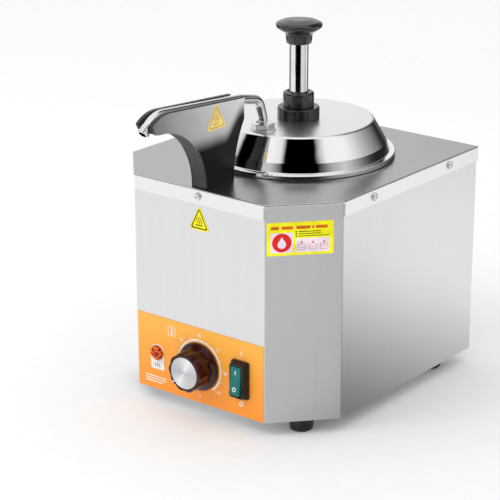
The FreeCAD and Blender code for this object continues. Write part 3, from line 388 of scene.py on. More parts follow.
def black_sheet(name, level=0.02, roughness=(0.32, 0.42)):
    """Near-black sheet with a faint mottle; on the spout's lips the black is a painted shade."""
    finish = Finish(name, Metallic=0.2, Specular_IOR_Level=0.5)
    mottle = finish.noise(120.0, detail=4)
    light = (level * 1.4, level * 1.4, level * 1.42, 1)
    finish.feed(finish.ramp(mottle, [(0.35, grey(level * 0.7)), (0.65, light)]), "Base Color")
    finish.feed(finish.between(mottle, *roughness, start=0.3, end=0.7), "Roughness")
    finish.bump(finish.noise(1500.0, detail=2), 0.01, 0.3)
    return finish


def moulded(name, colour, roughness=(0.3, 0.4), grain=1800.0, depth=0.012, **sockets):
    """Moulded plastic with a fine skin and slightly uneven gloss."""
    finish = Finish(name, **sockets)
    broad = finish.noise(70.0, detail=3)
    skin = finish.ramp(broad, [(0.35, shade(colour, 0.82)), (0.65, shade(colour, 1.12))])
    finish.feed(skin, "Base Color")
    finish.feed(finish.between(broad, *roughness, start=0.35, end=0.65), "Roughness")
    finish.bump(finish.noise(grain, detail=2), depth, 0.35)
    return finish


def spun_disc(name, centre):
    """Aluminium with turned rings about a centre, on a face that looks forwards, and a painted sheen of
    bright and dull sectors in its colour.
    """
    finish = Finish(name, Metallic=1.0, Anisotropic=0.85)
    rings = finish.rings(centre, (1, 0, 1), 2600)
    tangent = finish.nodes.new("ShaderNodeTangent")
    tangent.direction_type = "RADIAL"
    tangent.axis = "Y"
    finish.feed(tangent.outputs["Tangent"], "Tangent")
    fine = finish.ramp(rings, [(0.35, (0.84, 0.84, 0.85, 1)), (0.65, (0.97, 0.97, 0.98, 1))])
    around = finish.nodes.new("ShaderNodeTexGradient")
    around.gradient_type = "RADIAL"
    upright = finish.nodes.new("ShaderNodeMapping")
    upright.vector_type = "TEXTURE"
    upright.inputs["Location"].default_value = centre
    upright.inputs["Rotation"].default_value = (math.radians(90), 0, 0)
    finish.join(finish.coordinates, upright.inputs["Vector"])
    finish.join(upright.outputs["Vector"], around.inputs["Vector"])
    # Painted sheen: bright and dull sectors round the disc's centre, multiplied into the base colour
    painted_sheen = finish.ramp(around.outputs["Fac"], [
        (place, (level, level, level * 1.01, 1)) for place, level in PAINTED_CAP_SHEEN
    ])
    finish.feed(finish.mix(1.0, fine, painted_sheen, "MULTIPLY"), "Base Color")
    finish.feed(finish.between(rings, 0.22, 0.34, 0.3, 0.7), "Roughness")
    finish.bump(rings, 0.004, 0.4)
    return finish


def printed_film():
    """Orange film that runs from a lighter top edge to a deeper foot, with a printed screen's grain."""
    finish = Finish("printed_film", Specular_IOR_Level=0.3)
    low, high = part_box("control_overlay")
    level = finish.between(finish.along(2), 0, 1, low.z, high.z)
    cloud = finish.calc("MULTIPLY", finish.noise(18.0, detail=2), 0.08)
    colour = finish.ramp(finish.calc("ADD", level, cloud), [
        (0.05, linear(255, 152, 46)), (0.45, linear(255, 164, 56)), (1.0, linear(254, 182, 72)),
    ])
    finish.feed(colour, "Base Color")
    finish.feed(finish.between(finish.noise(90.0, detail=3), 0.34, 0.44, 0.35, 0.65), "Roughness")
    finish.bump(finish.noise(1600.0, detail=1), 0.006, 0.3)
    return finish


def printed(name, colour, roughness=(0.4, 0.52)):
    """Printing ink: one colour with a fine speckle of the screen it was printed through."""
    return moulded(name, colour, roughness, grain=2600.0, depth=0.004, Specular_IOR_Level=0.25)


def rubber():
    """Dull black rubber with a dusty bloom."""
    finish = Finish("foot_rubber", Specular_IOR_Level=0.35)
    dust = finish.noise(140.0, detail=5)
    finish.feed(finish.ramp(dust, [(0.35, grey(0.008)), (0.75, grey(0.04))]), "Base Color")
    finish.feed(finish.between(dust, 0.5, 0.75, 0.3, 0.7), "Roughness")
    finish.bump(finish.noise(1300.0, detail=3), 0.03, 0.5)
    return finish


def amber():
    """Amber lamp lens: glossy plastic over a moulded pattern, in a dark orange with painted bright glints at
    the pattern's cells.
    """
    finish = Finish(
        "amber_lens", Roughness=0.25, Specular_IOR_Level=0.2, Coat_Weight=0.15, Coat_Roughness=0.05,
    )
    cells = finish.nodes.new("ShaderNodeTexVoronoi")
    cells.inputs["Scale"].default_value = 480
    finish.join(finish.coordinates, cells.inputs["Vector"])
    # Painted glints: each cell's middle is painted bright, its edge dark orange
    colour = finish.ramp(cells.outputs["Distance"], [
        (0.08, linear(255, 196, 70)), (0.3, linear(244, 116, 8)),
        (0.6, linear(176, 44, 2)), (0.85, linear(96, 20, 2)),
    ])
    finish.feed(colour, "Base Color")
    finish.bump(cells.outputs["Distance"], 0.2, 0.5)
    return finish


# A finish for each slot of the record, and nut_steel for a piece that stands out among its slot's
FINISHES = {
    "casing_steel": brushed_steel("casing_steel", (0.8, 0.8, 0.81, 1), (900.0, 900.0, 9.0)),
    # The top plate's top face carries a painted shade, darker than its skirt
    "top_steel": brushed_steel(
        "top_steel", grey(0.9), (9.0, 900.0, 9.0), (0.25, 0.32),
        above=(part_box("top_plate")[1].z, (0.43, 0.435, 0.435, 1)),
    ),
    "panel_steel": brushed_steel("panel_steel", (0.7, 0.7, 0.71, 1), (700.0, 700.0, 9.0)),
    "base_steel": brushed_steel("base_steel", (0.5, 0.51, 0.53, 1), (120.0, 120.0, 120.0), (0.35, 0.5)),
    "screw_steel": polished_steel("screw_steel", grey(0.9), (0.3, 0.4), 0.7),
    "nut_steel": polished_steel("nut_steel", grey(0.8), (0.14, 0.2)),
    "polished_steel": polished_steel("polished_steel"),
    "lid_steel": lid_steel(),
    "pot_steel": brushed_steel("pot_steel", grey(0.7), (40.0, 40.0, 500.0), (0.2, 0.3)),
    "pan_steel": brushed_steel("pan_steel", (0.55, 0.55, 0.56, 1), (40.0, 40.0, 500.0)),
    # The spout's cheeks carry painted light and shade in their colour
    "spout_steel": painted_shade_sheet("spout_steel"),
    # The spout's lips: near-black sheet, a painted shade for the dark inside the spout's channel
    "spout_dark": black_sheet("spout_dark", 0.026),
    "foot_rubber": rubber(),
    "printed_film": printed_film(),
    "sticker_film": printed("sticker_film", linear(255, 240, 0)),
    "label_film": printed("label_film", linear(246, 246, 244)),
    "dial_plastic": moulded(
        "dial_plastic", (0.04, 0.005, 0.003, 1), (0.14, 0.22), Specular_IOR_Level=0.3, Coat_Weight=0.1,
    ),
    "dial_aluminium": spun_disc("dial_aluminium", spot(*middle("dial_cap"))),
    "shaft_brass": polished_steel("shaft_brass", (0.75, 0.58, 0.3, 1), (0.2, 0.3)),
    "thermostat_zinc": brushed_steel("thermostat_zinc", (0.6, 0.6, 0.61, 1), (200.0, 200.0, 200.0)),
    "bulb_copper": polished_steel("bulb_copper", (0.8, 0.42, 0.26, 1), (0.2, 0.35)),
    "amber_lens": amber(),
    "black_plastic": moulded("black_plastic", (0.014, 0.012, 0.012, 1), (0.24, 0.34)),
    "rocker_plastic": moulded(
        "rocker_plastic", linear(0, 112, 108), (0.12, 0.2), Specular_IOR_Level=0.3, Coat_Weight=0.15,
    ),
    "heater_alloy": brushed_steel("heater_alloy", grey(0.6), (150.0, 150.0, 150.0), (0.4, 0.55)),
    "element_steel": black_sheet("element_steel", 0.12),
    "ceramic_body": moulded("ceramic_body", (0.8, 0.77, 0.7, 1), (0.45, 0.6)),
    "wire_jacket": moulded("wire_jacket", grey(0.05), (0.45, 0.6)),
    "heater_pad": moulded("heater_pad", (0.5, 0.1, 0.04, 1), (0.5, 0.65)),
    "pump_plastic": moulded(
        "pump_plastic", (0.012, 0.012, 0.013, 1), (0.14, 0.19), 900.0, 0.002, Specular_IOR_Level=0.8,
    ),
    "barrel_plastic": moulded("barrel_plastic", (0.8, 0.79, 0.75, 1), (0.35, 0.5)),
    "ball_steel": polished_steel("ball_steel"),
    "seal_rubber": moulded("seal_rubber", grey(0.03), (0.5, 0.65)),
    "spring_steel": polished_steel("spring_steel", grey(0.6), (0.15, 0.25)),
    "gland_nylon": moulded("gland_nylon", grey(0.03), (0.4, 0.5)),
}
INKS = {
    "white_ink": printed("white_ink", linear(255, 246, 238)),
    "black_ink": printed("black_ink", linear(38, 34, 20)),
    "red_ink": printed("red_ink", linear(222, 24, 16)),
    "brown_ink": printed("brown_ink", linear(214, 100, 8)),
    "rose_ink": printed("rose_ink", linear(206, 146, 164)),
    "ochre_ink": printed("ochre_ink", linear(220, 160, 72)),
    "grey_ink": printed("grey_ink", linear(70, 84, 110)),
    "pale_ink": printed("pale_ink", linear(236, 222, 232)),
    "gold_film": printed("gold_film", linear(255, 226, 140)),
}


def material_of(name):
    """The material of a record slot or of an ink."""
    return (FINISHES.get(name) or INKS[name]).material


def dress_frame():
    """Gives every CAD node the finish of its slot."""
    for part in frame["record"]["subparts"]:
        mesh = frame["nodes"][part["node"]].data
        mesh.materials.clear()
        mesh.materials.append(material_of(part["material_slot"]))


# ---- making pieces ------------------------------------------------------------------------

def finished(mesh, name, material, body, smooth=35):
    """Turns a mesh in the row frame into a piece that rides on a body."""
    mesh.materials.clear()
    mesh.materials.append(material_of(material))
    piece = bpy.data.objects.new(name, mesh)
    bpy.context.scene.collection.objects.link(piece)
    mesh.shade_smooth()
    mesh.set_sharp_from_angle(angle=math.radians(smooth))
    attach(piece, body)
    return piece


def rounded(corners, closed, steps=6):
    """Points of an outline whose corners are (u, v) or (u, v, radius)."""
    points = []
    count = len(corners)
    for i, corner in enumerate(corners):
        here = Vector(corner[:2])
        radius = corner[2] if len(corner) > 2 else 0
        if radius == 0 or (not closed and i in (0, count - 1)):
            points.append(here)
            continue
        back = (Vector(corners[i - 1][:2]) - here).normalized()
        ahead = (Vector(corners[(i + 1) % count][:2]) - here).normalized()
        half = back.angle(ahead) / 2
        centre = here + (back + ahead).normalized() * (radius / math.sin(half))
        start = here + back * (radius / math.tan(half))
        end = here + ahead * (radius / math.tan(half))
        turn = (start - centre).angle_signed(end - centre)
        for step in range(steps + 1):
            points.append(centre + Matrix.Rotation(-turn * step / steps, 2) @ (start - centre))
    return points


def turned(rings, at, axis, samples=160):
    """A mesh from rings about an axis; a ring is (radius, height), where radius may be a function."""
    mesh = bmesh.new()
    turn = Z.rotation_difference(axis)
    rows = []
    for radius, height in rings:
        if not callable(radius) and radius < 1e-6:
            rows.append([mesh.verts.new(at + turn @ Vector((0, 0, height * MM)))])
            continue
        row = []
        for i in range(samples):
            angle = 2 * math.pi * i / samples
            size = (radius(angle) if callable(radius) else radius) * MM
            flat = Vector((size * math.cos(angle), size * math.sin(angle), height * MM))
            row.append(mesh.verts.new(at + turn @ flat))
        rows.append(row)
    for low, high in zip(rows, rows[1:]):
        for i in range(samples):
            j = (i + 1) % samples
            quad = [low[i % len(low)], low[j % len(low)], high[j % len(high)], high[i % len(high)]]
            corners = list(dict.fromkeys(quad))
            if len(corners) > 2:
                mesh.faces.new(corners)
    bmesh.ops.recalc_face_normals(mesh, faces=mesh.faces)
    data = bpy.data.meshes.new("turned")
    mesh.to_mesh(data)
    mesh.free()
    return data


def softened(node, width, material, steps=2):
    """A CAD node's own shape, smoothed, with its sharp edges broken by width millimetres if that isn't 0."""
    source = frame["nodes"][node]
    data = source.data.copy()
    mesh = bmesh.new()
    mesh.from_mesh(data)
    bmesh.ops.remove_doubles(mesh, verts=mesh.verts, dist=1e-6)
    if width > 0:
        bmesh.ops.dissolve_limit(mesh, angle_limit=math.radians(0.5), verts=mesh.verts, edges=mesh.edges)
        sharp = [e for e in mesh.edges if e.is_manifold and e.calc_face_angle(0) > math.radians(35)]
        bmesh.ops.bevel(
            mesh, geom=sharp, offset=width * MM, segments=steps, affect="EDGES", clamp_overlap=True,
        )
    bmesh.ops.recalc_face_normals(mesh, faces=mesh.faces)
    mesh.to_mesh(data)
    mesh.free()
    piece = finished(data, node + "_skin", material, source["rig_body"])
    even = piece.modifiers.new("even", "WEIGHTED_NORMAL")
    even.weight = 100
    even.keep_sharp = True
    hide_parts(node)
    return piece


def joined(meshes):
    """Several meshes as one; the others are deleted."""
    mesh = bmesh.new()
    for data in meshes:
        mesh.from_mesh(data)
        bpy.data.meshes.remove(data)
    data = bpy.data.meshes.new("joined")
    mesh.to_mesh(data)
    mesh.free()
    return data


def mesh_of(curve):
    """The surface of a curve, which is deleted."""
    holder = bpy.data.objects.new("holder", curve)
    bpy.context.scene.collection.objects.link(holder)
    bpy.context.view_layer.update()
    graph = bpy.context.evaluated_depsgraph_get()
    data = bpy.data.meshes.new_from_object(holder.evaluated_get(graph))
    bpy.data.objects.remove(holder)
    bpy.data.curves.remove(curve)
    return data


class Sheet:
    """A flat face to print on: a corner of it, its two directions and how far ink stands out."""

    def __init__(self, origin, right, up, outwards):
        self.matrix = Matrix((right, up, outwards)).transposed().to_4x4()
        self.matrix.translation = origin

    def shape(self, loops, lift=0.0):
        """Filled outlines in millimetres of the sheet; a loop inside another is a hole."""
        curve = bpy.data.curves.new("loops", "CURVE")
        curve.dimensions = "2D"
        curve.fill_mode = "BOTH"
        for loop in loops:
            spline = curve.splines.new("POLY")
            spline.points.add(len(loop) - 1)
            for point, (u, v) in zip(spline.points, loop):
                point.co = (u * MM, v * MM, 0, 1)
            spline.use_cyclic_u = True
        return self.raised(curve, Matrix.Translation((0, 0, lift * MM)))

    def word(self, text, u, v, size, turn=0):
        """Generic marks such as numbers, centred on a point."""
        curve = bpy.data.curves.new("word", "FONT")
        curve.body = text
        curve.size = size * MM
        curve.align_x = "CENTER"
        curve.align_y = "CENTER"
        place = Matrix.Translation((u * MM, v * MM, 0)) @ Matrix.Rotation(math.radians(turn), 4, "Z")
        return self.raised(curve, place)

    def raised(self, curve, place):
        """The curve's mesh, with the thickness of a layer of ink, laid on the sheet."""
        curve.extrude = INK * MM / 2
        data = mesh_of(curve)
        data.transform(self.matrix @ Matrix.Translation((0, 0, INK * MM / 2)) @ place)
        return data


def circle(u, v, radius, samples=64):
    """A circle of straight sides round (u, v)."""
    return [
        (u + radius * math.cos(2 * math.pi * i / samples), v + radius * math.sin(2 * math.pi * i / samples))
        for i in range(samples)
    ]


def arc_band(u, v, inner, outer, start, end, samples=72):
    """A curved stripe between two radii and two angles in degrees."""
    def side(radius, order):
        return [
            (u + radius * math.cos(math.radians(start + (end - start) * i / samples)),
             v + radius * math.sin(math.radians(start + (end - start) * i / samples)))
            for i in order
        ]
    return side(outer, range(samples + 1)) + side(inner, range(samples, -1, -1))


def block(u0, v0, u1, v1, radius=0.0):
    """A rectangle between two corners, with its own corners rounded."""
    return rounded([(u, v, radius) for u, v in ((u0, v0), (u1, v0), (u1, v1), (u0, v1))], True)


def wave(u, v, height, swing, width):
    """An upright wavy stroke, as for rising heat."""
    steps = 24
    line = [(u + swing * math.sin(2 * math.pi * i / steps), v + height * i / steps) for i in range(steps + 1)]
    left = [(a - width / 2, b) for a, b in line]
    right = [(a + width / 2, b) for a, b in reversed(line)]
    return left + right


def triangle(u, v, width, height, radius):
    """A triangle on its base, whose middle is (u, v), with rounded corners."""
    return rounded([(u - width / 2, v, radius), (u + width / 2, v, radius), (u, v + height, radius)], True)


def drop(u, v, radius):
    """A falling drop: a round foot that draws in to a point above it."""
    points = []
    for i in range(48):
        angle = 2 * math.pi * i / 48
        pull = max(0.0, math.sin(angle)) ** 3
        across = radius * math.cos(angle) * (1 - 0.55 * pull)
        points.append((u + across, v + radius * math.sin(angle) * (1 + 0.75 * pull)))
    return points


def ink_piece(name, meshes, ink, body):
    """Several printed shapes as one piece."""
    return finished(joined(meshes), name, ink, body)


def column(node):
    """Foot of a CAD node's box in metres, and its half width, half depth and height in millimetres."""
    low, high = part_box(node)
    foot = Vector(((low.x + high.x) / 2, (low.y + high.y) / 2, low.z))
    return foot, (high.x - low.x) / 2 / MM, (high.y - low.y) / 2 / MM, (high.z - low.z) / MM


# ---- control panel ------------------------------------------------------------------------

def front_sheet(y):
    """The front as a sheet whose millimetres are the casing's x and z, at depth y."""
    return Sheet(spot(0, y, 0), X, Z, -Y)


def beside(centre, angle, across, upright):
    """A point of the front's sheet at an angle from a centre, on an oval of two half sizes."""
    turn = math.radians(angle)
    return centre.x + across * math.cos(turn), centre.z + upright * math.sin(turn)


def panel_printing():
    """Ring, scale, thermometer, switch marks and rules in white on the film, and the lamp's heat mark."""
    sheet = front_sheet(face_of("control_overlay", 1, -1))
    hub = middle("thermostat_knob")
    switch = middle("switch_body")
    lamp = middle("indicator_label")
    marks = [sheet.shape([arc_band(hub.x, hub.z, 25.5, 27.4, -52, 232)])]
    for angle, text in SCALE_NUMBERS:
        marks.append(sheet.word(text, *beside(hub, angle, 32.2, 31.4), 4.6))
    for angle in SCALE_DOTS:
        marks.append(sheet.shape([circle(*beside(hub, angle, 29.0, 29.0), 0.55, 20)]))
    marks.append(sheet.word("°C", hub.x, hub.z - 31.6, 4.6))
    marks.append(sheet.shape([
        block(ICON_U - 4.6, ICON_V - 4.8, ICON_U + 4.6, ICON_V + 4.8, 0.8),
        block(ICON_U - 4.0, ICON_V - 4.2, ICON_U + 4.0, ICON_V + 4.2, 0.5),
    ]))
    marks.append(sheet.shape([circle(ICON_U, ICON_V - 2.2, 1.3, 24)]))
    marks.append(sheet.shape([block(ICON_U - 0.6, ICON_V - 1.2, ICON_U + 0.6, ICON_V + 3.4, 0.6)]))
    for row in range(3):
        marks.append(sheet.shape([block(ICON_U + 1.4, ICON_V + 0.4 + row, ICON_U + 2.8, ICON_V + 0.8 + row)]))
    on_v, off_v = switch.z + 26.2, switch.z - 26.2
    marks.append(sheet.shape([block(switch.x - 0.55, on_v - 2.4, switch.x + 0.55, on_v + 2.4, 0.3)]))
    marks.append(sheet.shape([circle(switch.x, off_v, 2.5), circle(switch.x, off_v, 1.5)]))
    for row, length in enumerate(PANEL_RULES):
        low = 12.6 - 2.8 * row
        marks.append(sheet.shape([block(-70.0, low, -70.0 + length, low + 1.0, 0.4)]))
    ink_piece("panel_marks", marks, "white_ink", "casing")

    plate = front_sheet(face_of("indicator_label", 1, -1))
    heat = [plate.shape([wave(lamp.x + 2.6 * i, 24.2, 4.2, 0.55, 0.8)]) for i in (-1, 0, 1)]
    ink_piece("lamp_heat_mark", heat, "grey_ink", "casing")


def dial():
    """Dial with a round skirt, a grip of hollow flutes and a lip round its disc, with its pointer."""
    low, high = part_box("thermostat_knob")
    centre = Vector(((low.x + high.x) / 2, high.y, (low.z + high.z) / 2))
    length = (high.y - low.y) / MM
    skirt = (high.x - low.x) / 2 / MM

    def fluted(scale):
        def radius(angle):
            crest = 0.5 + 0.5 * math.cos(FLUTES * angle)
            return (GRIP_R - FLUTE_DEPTH * (1 - crest ** 0.55)) * scale
        return radius

    rings = [
        (18.0, 1.5), (18.0, 0), (skirt - 0.7, 0), (skirt, 0.6), (skirt, 2.4), (skirt - 0.5, 3.1),
        (GRIP_R + 1.6, 3.9), (GRIP_R + 0.7, 4.4), (fluted(1.0), 5.0), (fluted(1.0), length - 1.3),
        (fluted(0.985), length - 0.5), (fluted(0.955), length - 0.06), (DISC_R + 0.8, length),
        (DISC_R, length - 0.35), (DISC_R, length - 1.2), (0, length - 1.2),
    ]
    grip = turned(rings, centre, -Y, 240)
    piece = finished(grip, "dial_grip", "dial_plastic", "dial", 50)
    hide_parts("thermostat_knob")

    face = Sheet(Vector((centre.x, low.y, centre.z)), X, Z, -Y)
    turn = math.radians(POINTER_ANGLE)
    along = Vector((math.cos(turn), math.sin(turn)))
    across = Vector((-along.y, along.x)) * 0.75
    start, end = along * (DISC_R + 0.3), along * (DISC_R + 2.5)
    mark = face.shape([[start + across, end + across, end - across, start - across]])
    ink_piece("dial_pointer", [mark], "white_ink", "dial")


def switch_marks():
    """I and O on the rocker's two halves, laid on its face as a ray from the front finds it."""
    centre = middle("switch_rocker")
    signs = (
        ("rocker_bar", 1, [block(-0.45, -2.1, 0.45, 2.1, 0.2)]),
        ("rocker_ring", -1, [circle(0, 0, 2.3), circle(0, 0, 1.3)]),
    )
    for name, side, loops in signs:
        start = spot(centre.x, centre.y - 60, centre.z + 8.4 * side)
        _, place, outwards, _ = frame["nodes"]["switch_rocker"].ray_cast(start, Y)
        sheet = Sheet(place, X, outwards.cross(X), outwards)
        ink_piece(name, [sheet.shape(loops)], "white_ink", "rocker")


# ---- stickers -----------------------------------------------------------------------------

def hot_sticker(name, sheet, u, v, width, height, film, ink):
    """Printing of a triangular sticker: its film, a border, and three heat strokes over a bar."""
    face = [sheet.shape([triangle(u, v + 0.1, width - 0.4, height - 0.4, 1.7)])]
    ink_piece(name + "_film", face, film, "casing")
    border = sheet.shape([
        triangle(u, v + 1.4, width - 4.0, height - 3.8, 1.5),
        triangle(u, v + 2.6, width - 7.6, height - 7.0, 0.8),
    ], INK)
    strokes = [
        sheet.shape([wave(u + across, v + 6.6, tall, 0.5, 0.8)], INK)
        for across, tall in ((-2.5, 5.4), (0, 7.0), (2.5, 5.4))
    ]
    bar = sheet.shape([block(u - 4.6, v + 4.6, u + 4.6, v + 5.6, 0.3)], INK)
    ink_piece(name + "_sign", [border, bar] + strokes, ink, "casing")


def hot_stickers():
    """Printing of the sticker on the front and of the one on the spout's right cheek."""
    front = front_sheet(face_of("shell_wrap", 1, -1) - FILM)
    hot_sticker("front_sign", front, 1, 178.8, 25, 25, "sticker_film", "black_ink")
    cheek = Sheet(spot(face_of("spout_cheek_right", 0, 1) + FILM, 0, 0), Y, Z, X)
    hot_sticker("spout_sign", cheek, -127, 276.8, 28, 26, "gold_film", "ochre_ink")


def water_sticker():
    """Printing on the oblong sticker: a drop in a disc, plain rules and three small pictures."""
    outwards = Vector((CHAMFER_DIRECTION.y, -CHAMFER_DIRECTION.x, 0))
    sheet = Sheet(spot(*CHAMFER_FRONT) + outwards * FILM * MM, CHAMFER_DIRECTION, Z, outwards)
    bottom = face_of("water_sticker", 2, -1)
    ink_piece("water_panels", [
        sheet.shape([block(5.2, bottom + 2.6, 26.6, bottom + 22.4, 0.5)]),
        sheet.shape([block(29.4, bottom + 2.6, 61.4, bottom + 16.4, 0.5)]),
    ], "pale_ink", "casing")
    disc_u, disc_v = 15.9, bottom + 12.6
    ink_piece("water_disc", [
        sheet.shape([circle(disc_u, disc_v, 9.2), drop(disc_u, disc_v - 1.6, 4.1)], INK),
    ], "red_ink", "casing")
    title = [sheet.shape([block(u0, bottom + 25.6, u1, bottom + 28.6, 0.5)]) for u0, u1 in TITLE_BARS]
    ink_piece("water_title", title, "brown_ink", "casing")
    rules = []
    for row, end in enumerate((61.0, 53.0, 53.0)):
        v = bottom + 18.2 + 2.2 * row
        rules.append(sheet.shape([circle(29.6, v + 0.4, 0.7, 16)]))
        rules.append(sheet.shape([block(31.6, v, end, v + 0.7, 0.3)]))
    ink_piece("water_rules", rules, "black_ink", "casing")
    pictures, drops = [], []
    for i in range(3):
        u = 34.7 + 10.7 * i
        v = bottom + 5.0
        pictures.append(sheet.shape([
            block(u - 3.9, v, u + 3.9, v + 5.6, 0.9), block(u - 3.4, v + 0.5, u + 3.4, v + 5.1, 0.6),
        ], INK))
        pictures.append(sheet.shape([block(u - 3.2, v + 2.0 + 0.5 * i, u + 3.2, v + 2.5 + 0.5 * i)], INK))
        drops.append(sheet.shape([drop(u, v + 7.2, 0.9)], INK))
    ink_piece("water_pictures", pictures, "rose_ink", "casing")
    ink_piece("water_drops", drops, "red_ink", "casing")


# ---- lid and pump -------------------------------------------------------------------------

def palm_knob():
    """Mushroom knob, turned to one smooth outline."""
    foot, wide, _, tall = column("pump_knob")
    rim = tall - 8.6
    outline = [
        (9.5, 0), (12.4, 0, 0.6), (13.0, 4, 6), (13.4, rim - 5.0, 5), (wide - 2.0, rim - 0.4, 2),
        (wide - 0.3, rim + 1.4, 1), (wide, rim + 4.4, 1.2), (wide - 3.6, rim + 6.4, 4), (10, tall, 24),
        (0, tall),
    ]
    rings = [(9.5, 15.0)] + rounded(outline, False, 10)
    knob = turned(rings, foot, Z, 192)
    piece = finished(knob, "palm_knob", "pump_plastic", "plunger", 60)
    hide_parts("pump_knob")


def crown_nut():
    """Hexagonal nut at the foot of the discharge tube, with rounded corners and a hollow top."""
    foot, _, flats, tall = column("tube_nut")

    def hexagon(scale):
        def radius(angle):
            sector = (angle + math.pi / 6) % (math.pi / 3) - math.pi / 6
            return min(flats / math.cos(sector), flats * 1.1) * scale
        return radius

    rings = [
        (7.1, 0), (hexagon(0.97), 0), (hexagon(1.0), 0.4), (hexagon(1.0), tall - 1.4),
        (hexagon(0.94), tall - 0.5), (8.4, tall), (6.6, tall), (6.0, tall - 0.6), (5.4, tall - 1.6),
    ]
    nut = turned(rings, foot, Z, 144)
    piece = finished(nut, "crown_nut", "nut_steel", "lid_and_pump", 28)
    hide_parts("tube_nut")


def return_spring():
    """Coil spring under the piston, built at the length of the CAD node; the real one shortens as the pump is
    pushed down.
    """
    low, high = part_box("pump_spring")
    axis = (low + high) / 2
    wire = SPRING_WIRE_R * MM
    radius = (high.x - low.x) / 2 - wire
    curve = bpy.data.curves.new("spring", "CURVE")
    curve.dimensions = "3D"
    curve.bevel_depth = wire
    curve.bevel_resolution = 3
    curve.use_fill_caps = True
    spline = curve.splines.new("POLY")
    steps = SPRING_COILS * SPRING_STEPS
    spline.points.add(steps)
    for i, point in enumerate(spline.points):
        angle = 2 * math.pi * SPRING_COILS * i / steps
        height = low.z + wire + (high.z - low.z - 2 * wire) * i / steps
        point.co = (axis.x + radius * math.cos(angle), axis.y + radius * math.sin(angle), height, 1)
    coil = mesh_of(curve)
    piece = finished(coil, "return_spring", "spring_steel", "lid_and_pump", 60)
    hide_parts("pump_spring")
    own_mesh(piece)


# ---- studio -------------------------------------------------------------------------------

def floor():
    """Pale paper under the object."""
    mesh = bpy.data.meshes.new("floor")
    size = 6.0
    corners = [(-size, -size, 0), (size, -size, 0), (size, size, 0), (-size, size, 0)]
    mesh.from_pydata(corners, [], [(0, 1, 2, 3)])
    finish = Finish("floor_paper", Roughness=0.9, Specular_IOR_Level=0.1)
    grain = finish.noise(60.0, detail=2)
    finish.feed(finish.ramp(grain, [(0.3, grey(0.93)), (0.7, grey(0.95))]), "Base Color")
    mesh.materials.append(finish.material)
    plane = bpy.data.objects.new("floor", mesh)
    plane.location.z = CAD_BOX[0][2] - 0.2 * MM
    plane.visible_glossy = False
    bpy.context.scene.collection.objects.link(plane)


def steel_card():
    """A glowing card just over the floor that only shiny surfaces see, to shade each side of the casing."""
    glow = Finish(
        "steel_card", Base_Color=grey(0), Specular_IOR_Level=0.0, Roughness=1.0, Emission_Strength=1.0,
    )
    first, last = BESIDE[0][0], BESIDE[-1][0]
    along = glow.between(glow.along(1), 0, 1, spot(0, first, 0).y, spot(0, last, 0).y)
    beyond = glow.ramp(along, [((y - first) / (last - first), grey(level)) for y, level in BESIDE])
    before = glow.between(glow.along(0), 0, 1, spot(20, 0, 0).x, spot(110, 0, 0).x, smooth=True)
    glow.feed(glow.mix(before, grey(0.98), beyond), "Emission Color")

    mesh = bpy.data.meshes.new("steel_card")
    level = CAD_BOX[0][2] - 0.1 * MM
    outline = circle(0, 0, CARD_RADIUS * MM)
    mesh.from_pydata([(x, y, level) for x, y in outline], [], [range(len(outline))])
    mesh.materials.append(glow.material)
    card = bpy.data.objects.new("steel_card", mesh)
    for kind in ("camera", "diffuse", "transmission", "volume_scatter", "shadow"):
        setattr(card, "visible_" + kind, False)
    bpy.context.scene.collection.objects.link(card)


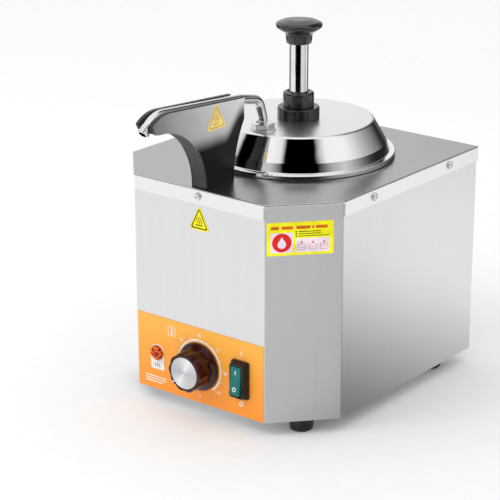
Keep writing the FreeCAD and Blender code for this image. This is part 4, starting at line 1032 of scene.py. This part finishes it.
def studio():
    """A white room for the camera and for matt surfaces, and strips of light and dark for shiny ones."""
    world = bpy.data.worlds.new("studio")
    bpy.context.scene.world = world
    room = Nodes(world, "Generated")
    azimuth = math.radians(VIEW_AZIMUTH)
    towards = room.dot((math.sin(azimuth), -math.cos(azimuth), 0))
    rightwards = room.dot((math.cos(azimuth), math.sin(azimuth), 0))
    place = room.between(room.calc("ARCTAN2", rightwards, towards), 0, 1, -math.pi, math.pi)

    def panels(stops):
        return room.ramp(place, [((degrees + 180) / 360, grey(value)) for degrees, value in stops])

    def above(start, end, lean):
        """Rises with a direction's height; lean tips the bands down on the camera's side."""
        height = room.dot((-lean * math.sin(azimuth), lean * math.cos(azimuth), 1))
        return room.between(height, 0, 1, start, end, smooth=True)

    sides = room.mix(above(-0.12, 0.0, 0.25), panels(PANELS_UPRIGHT), panels(PANELS_LOW))
    sides = room.mix(above(0.2, 0.34, 0.25), sides, panels(PANELS_HIGH))
    seen_by_metal = room.mix(above(0.8, 0.92, 0), sides, grey(1))
    path = room.nodes.new("ShaderNodeLightPath")
    matt = room.mix(path.outputs["Is Diffuse Ray"], seen_by_metal, grey(1))
    shown = room.mix(path.outputs["Is Camera Ray"], matt, grey(0.91))
    background = room.nodes["Background"]
    room.join(shown, background.inputs["Color"])
    background.inputs["Strength"].default_value = 1.0


def soft_light(name, place, target, size, power):
    """An oblong lamp that faces a target and that shiny surfaces don't show."""
    lamp = bpy.data.lights.new(name, "AREA")
    lamp.shape = "RECTANGLE"
    lamp.size, lamp.size_y = size
    lamp.energy = power
    holder = bpy.data.objects.new(name, lamp)
    holder.location = place
    holder.rotation_euler = (target - place).to_track_quat("-Z", "Y").to_euler()
    holder.visible_glossy = False
    bpy.context.scene.collection.objects.link(holder)


def camera():
    """The camera at the photograph's viewing angle."""
    azimuth, elevation = math.radians(VIEW_AZIMUTH), math.radians(VIEW_ELEVATION)
    level = math.cos(elevation)
    ahead = Vector((-math.sin(azimuth) * level, math.cos(azimuth) * level, -math.sin(elevation)))
    data = bpy.data.cameras.new("camera")
    data.lens = LENS
    data.sensor_width = 36
    data.shift_y = SHIFT_Y
    data.clip_end = 20
    holder = bpy.data.objects.new("camera", data)
    holder.location = spot(*CAMERA_AT)
    holder.rotation_euler = ahead.to_track_quat("-Z", "Y").to_euler()
    bpy.context.scene.collection.objects.link(holder)
    bpy.context.scene.camera = holder


camera()
studio()
floor()
steel_card()
soft_light("key", Vector((-0.9, -1.3, 1.7)), spot(0, 0, 150), (1.2, 1.2), 9)
dress_frame()
panel_printing()
dial()
switch_marks()
hot_stickers()
water_sticker()
palm_knob()
crown_nut()
return_spring()
for cheek in ("spout_cheek_left", "spout_cheek_right"):
    softened(cheek, 0.25, "spout_steel")
softened("switch_rocker", 0.9, "rocker_plastic", 4)
softened("switch_body", 0.4, "black_plastic")
softened("lid", 0, "lid_steel")
softened("pump_rod", 0, "polished_steel")
softened("discharge_tube", 0, "polished_steel")
bpy.context.scene.view_settings.view_transform = "Standard"
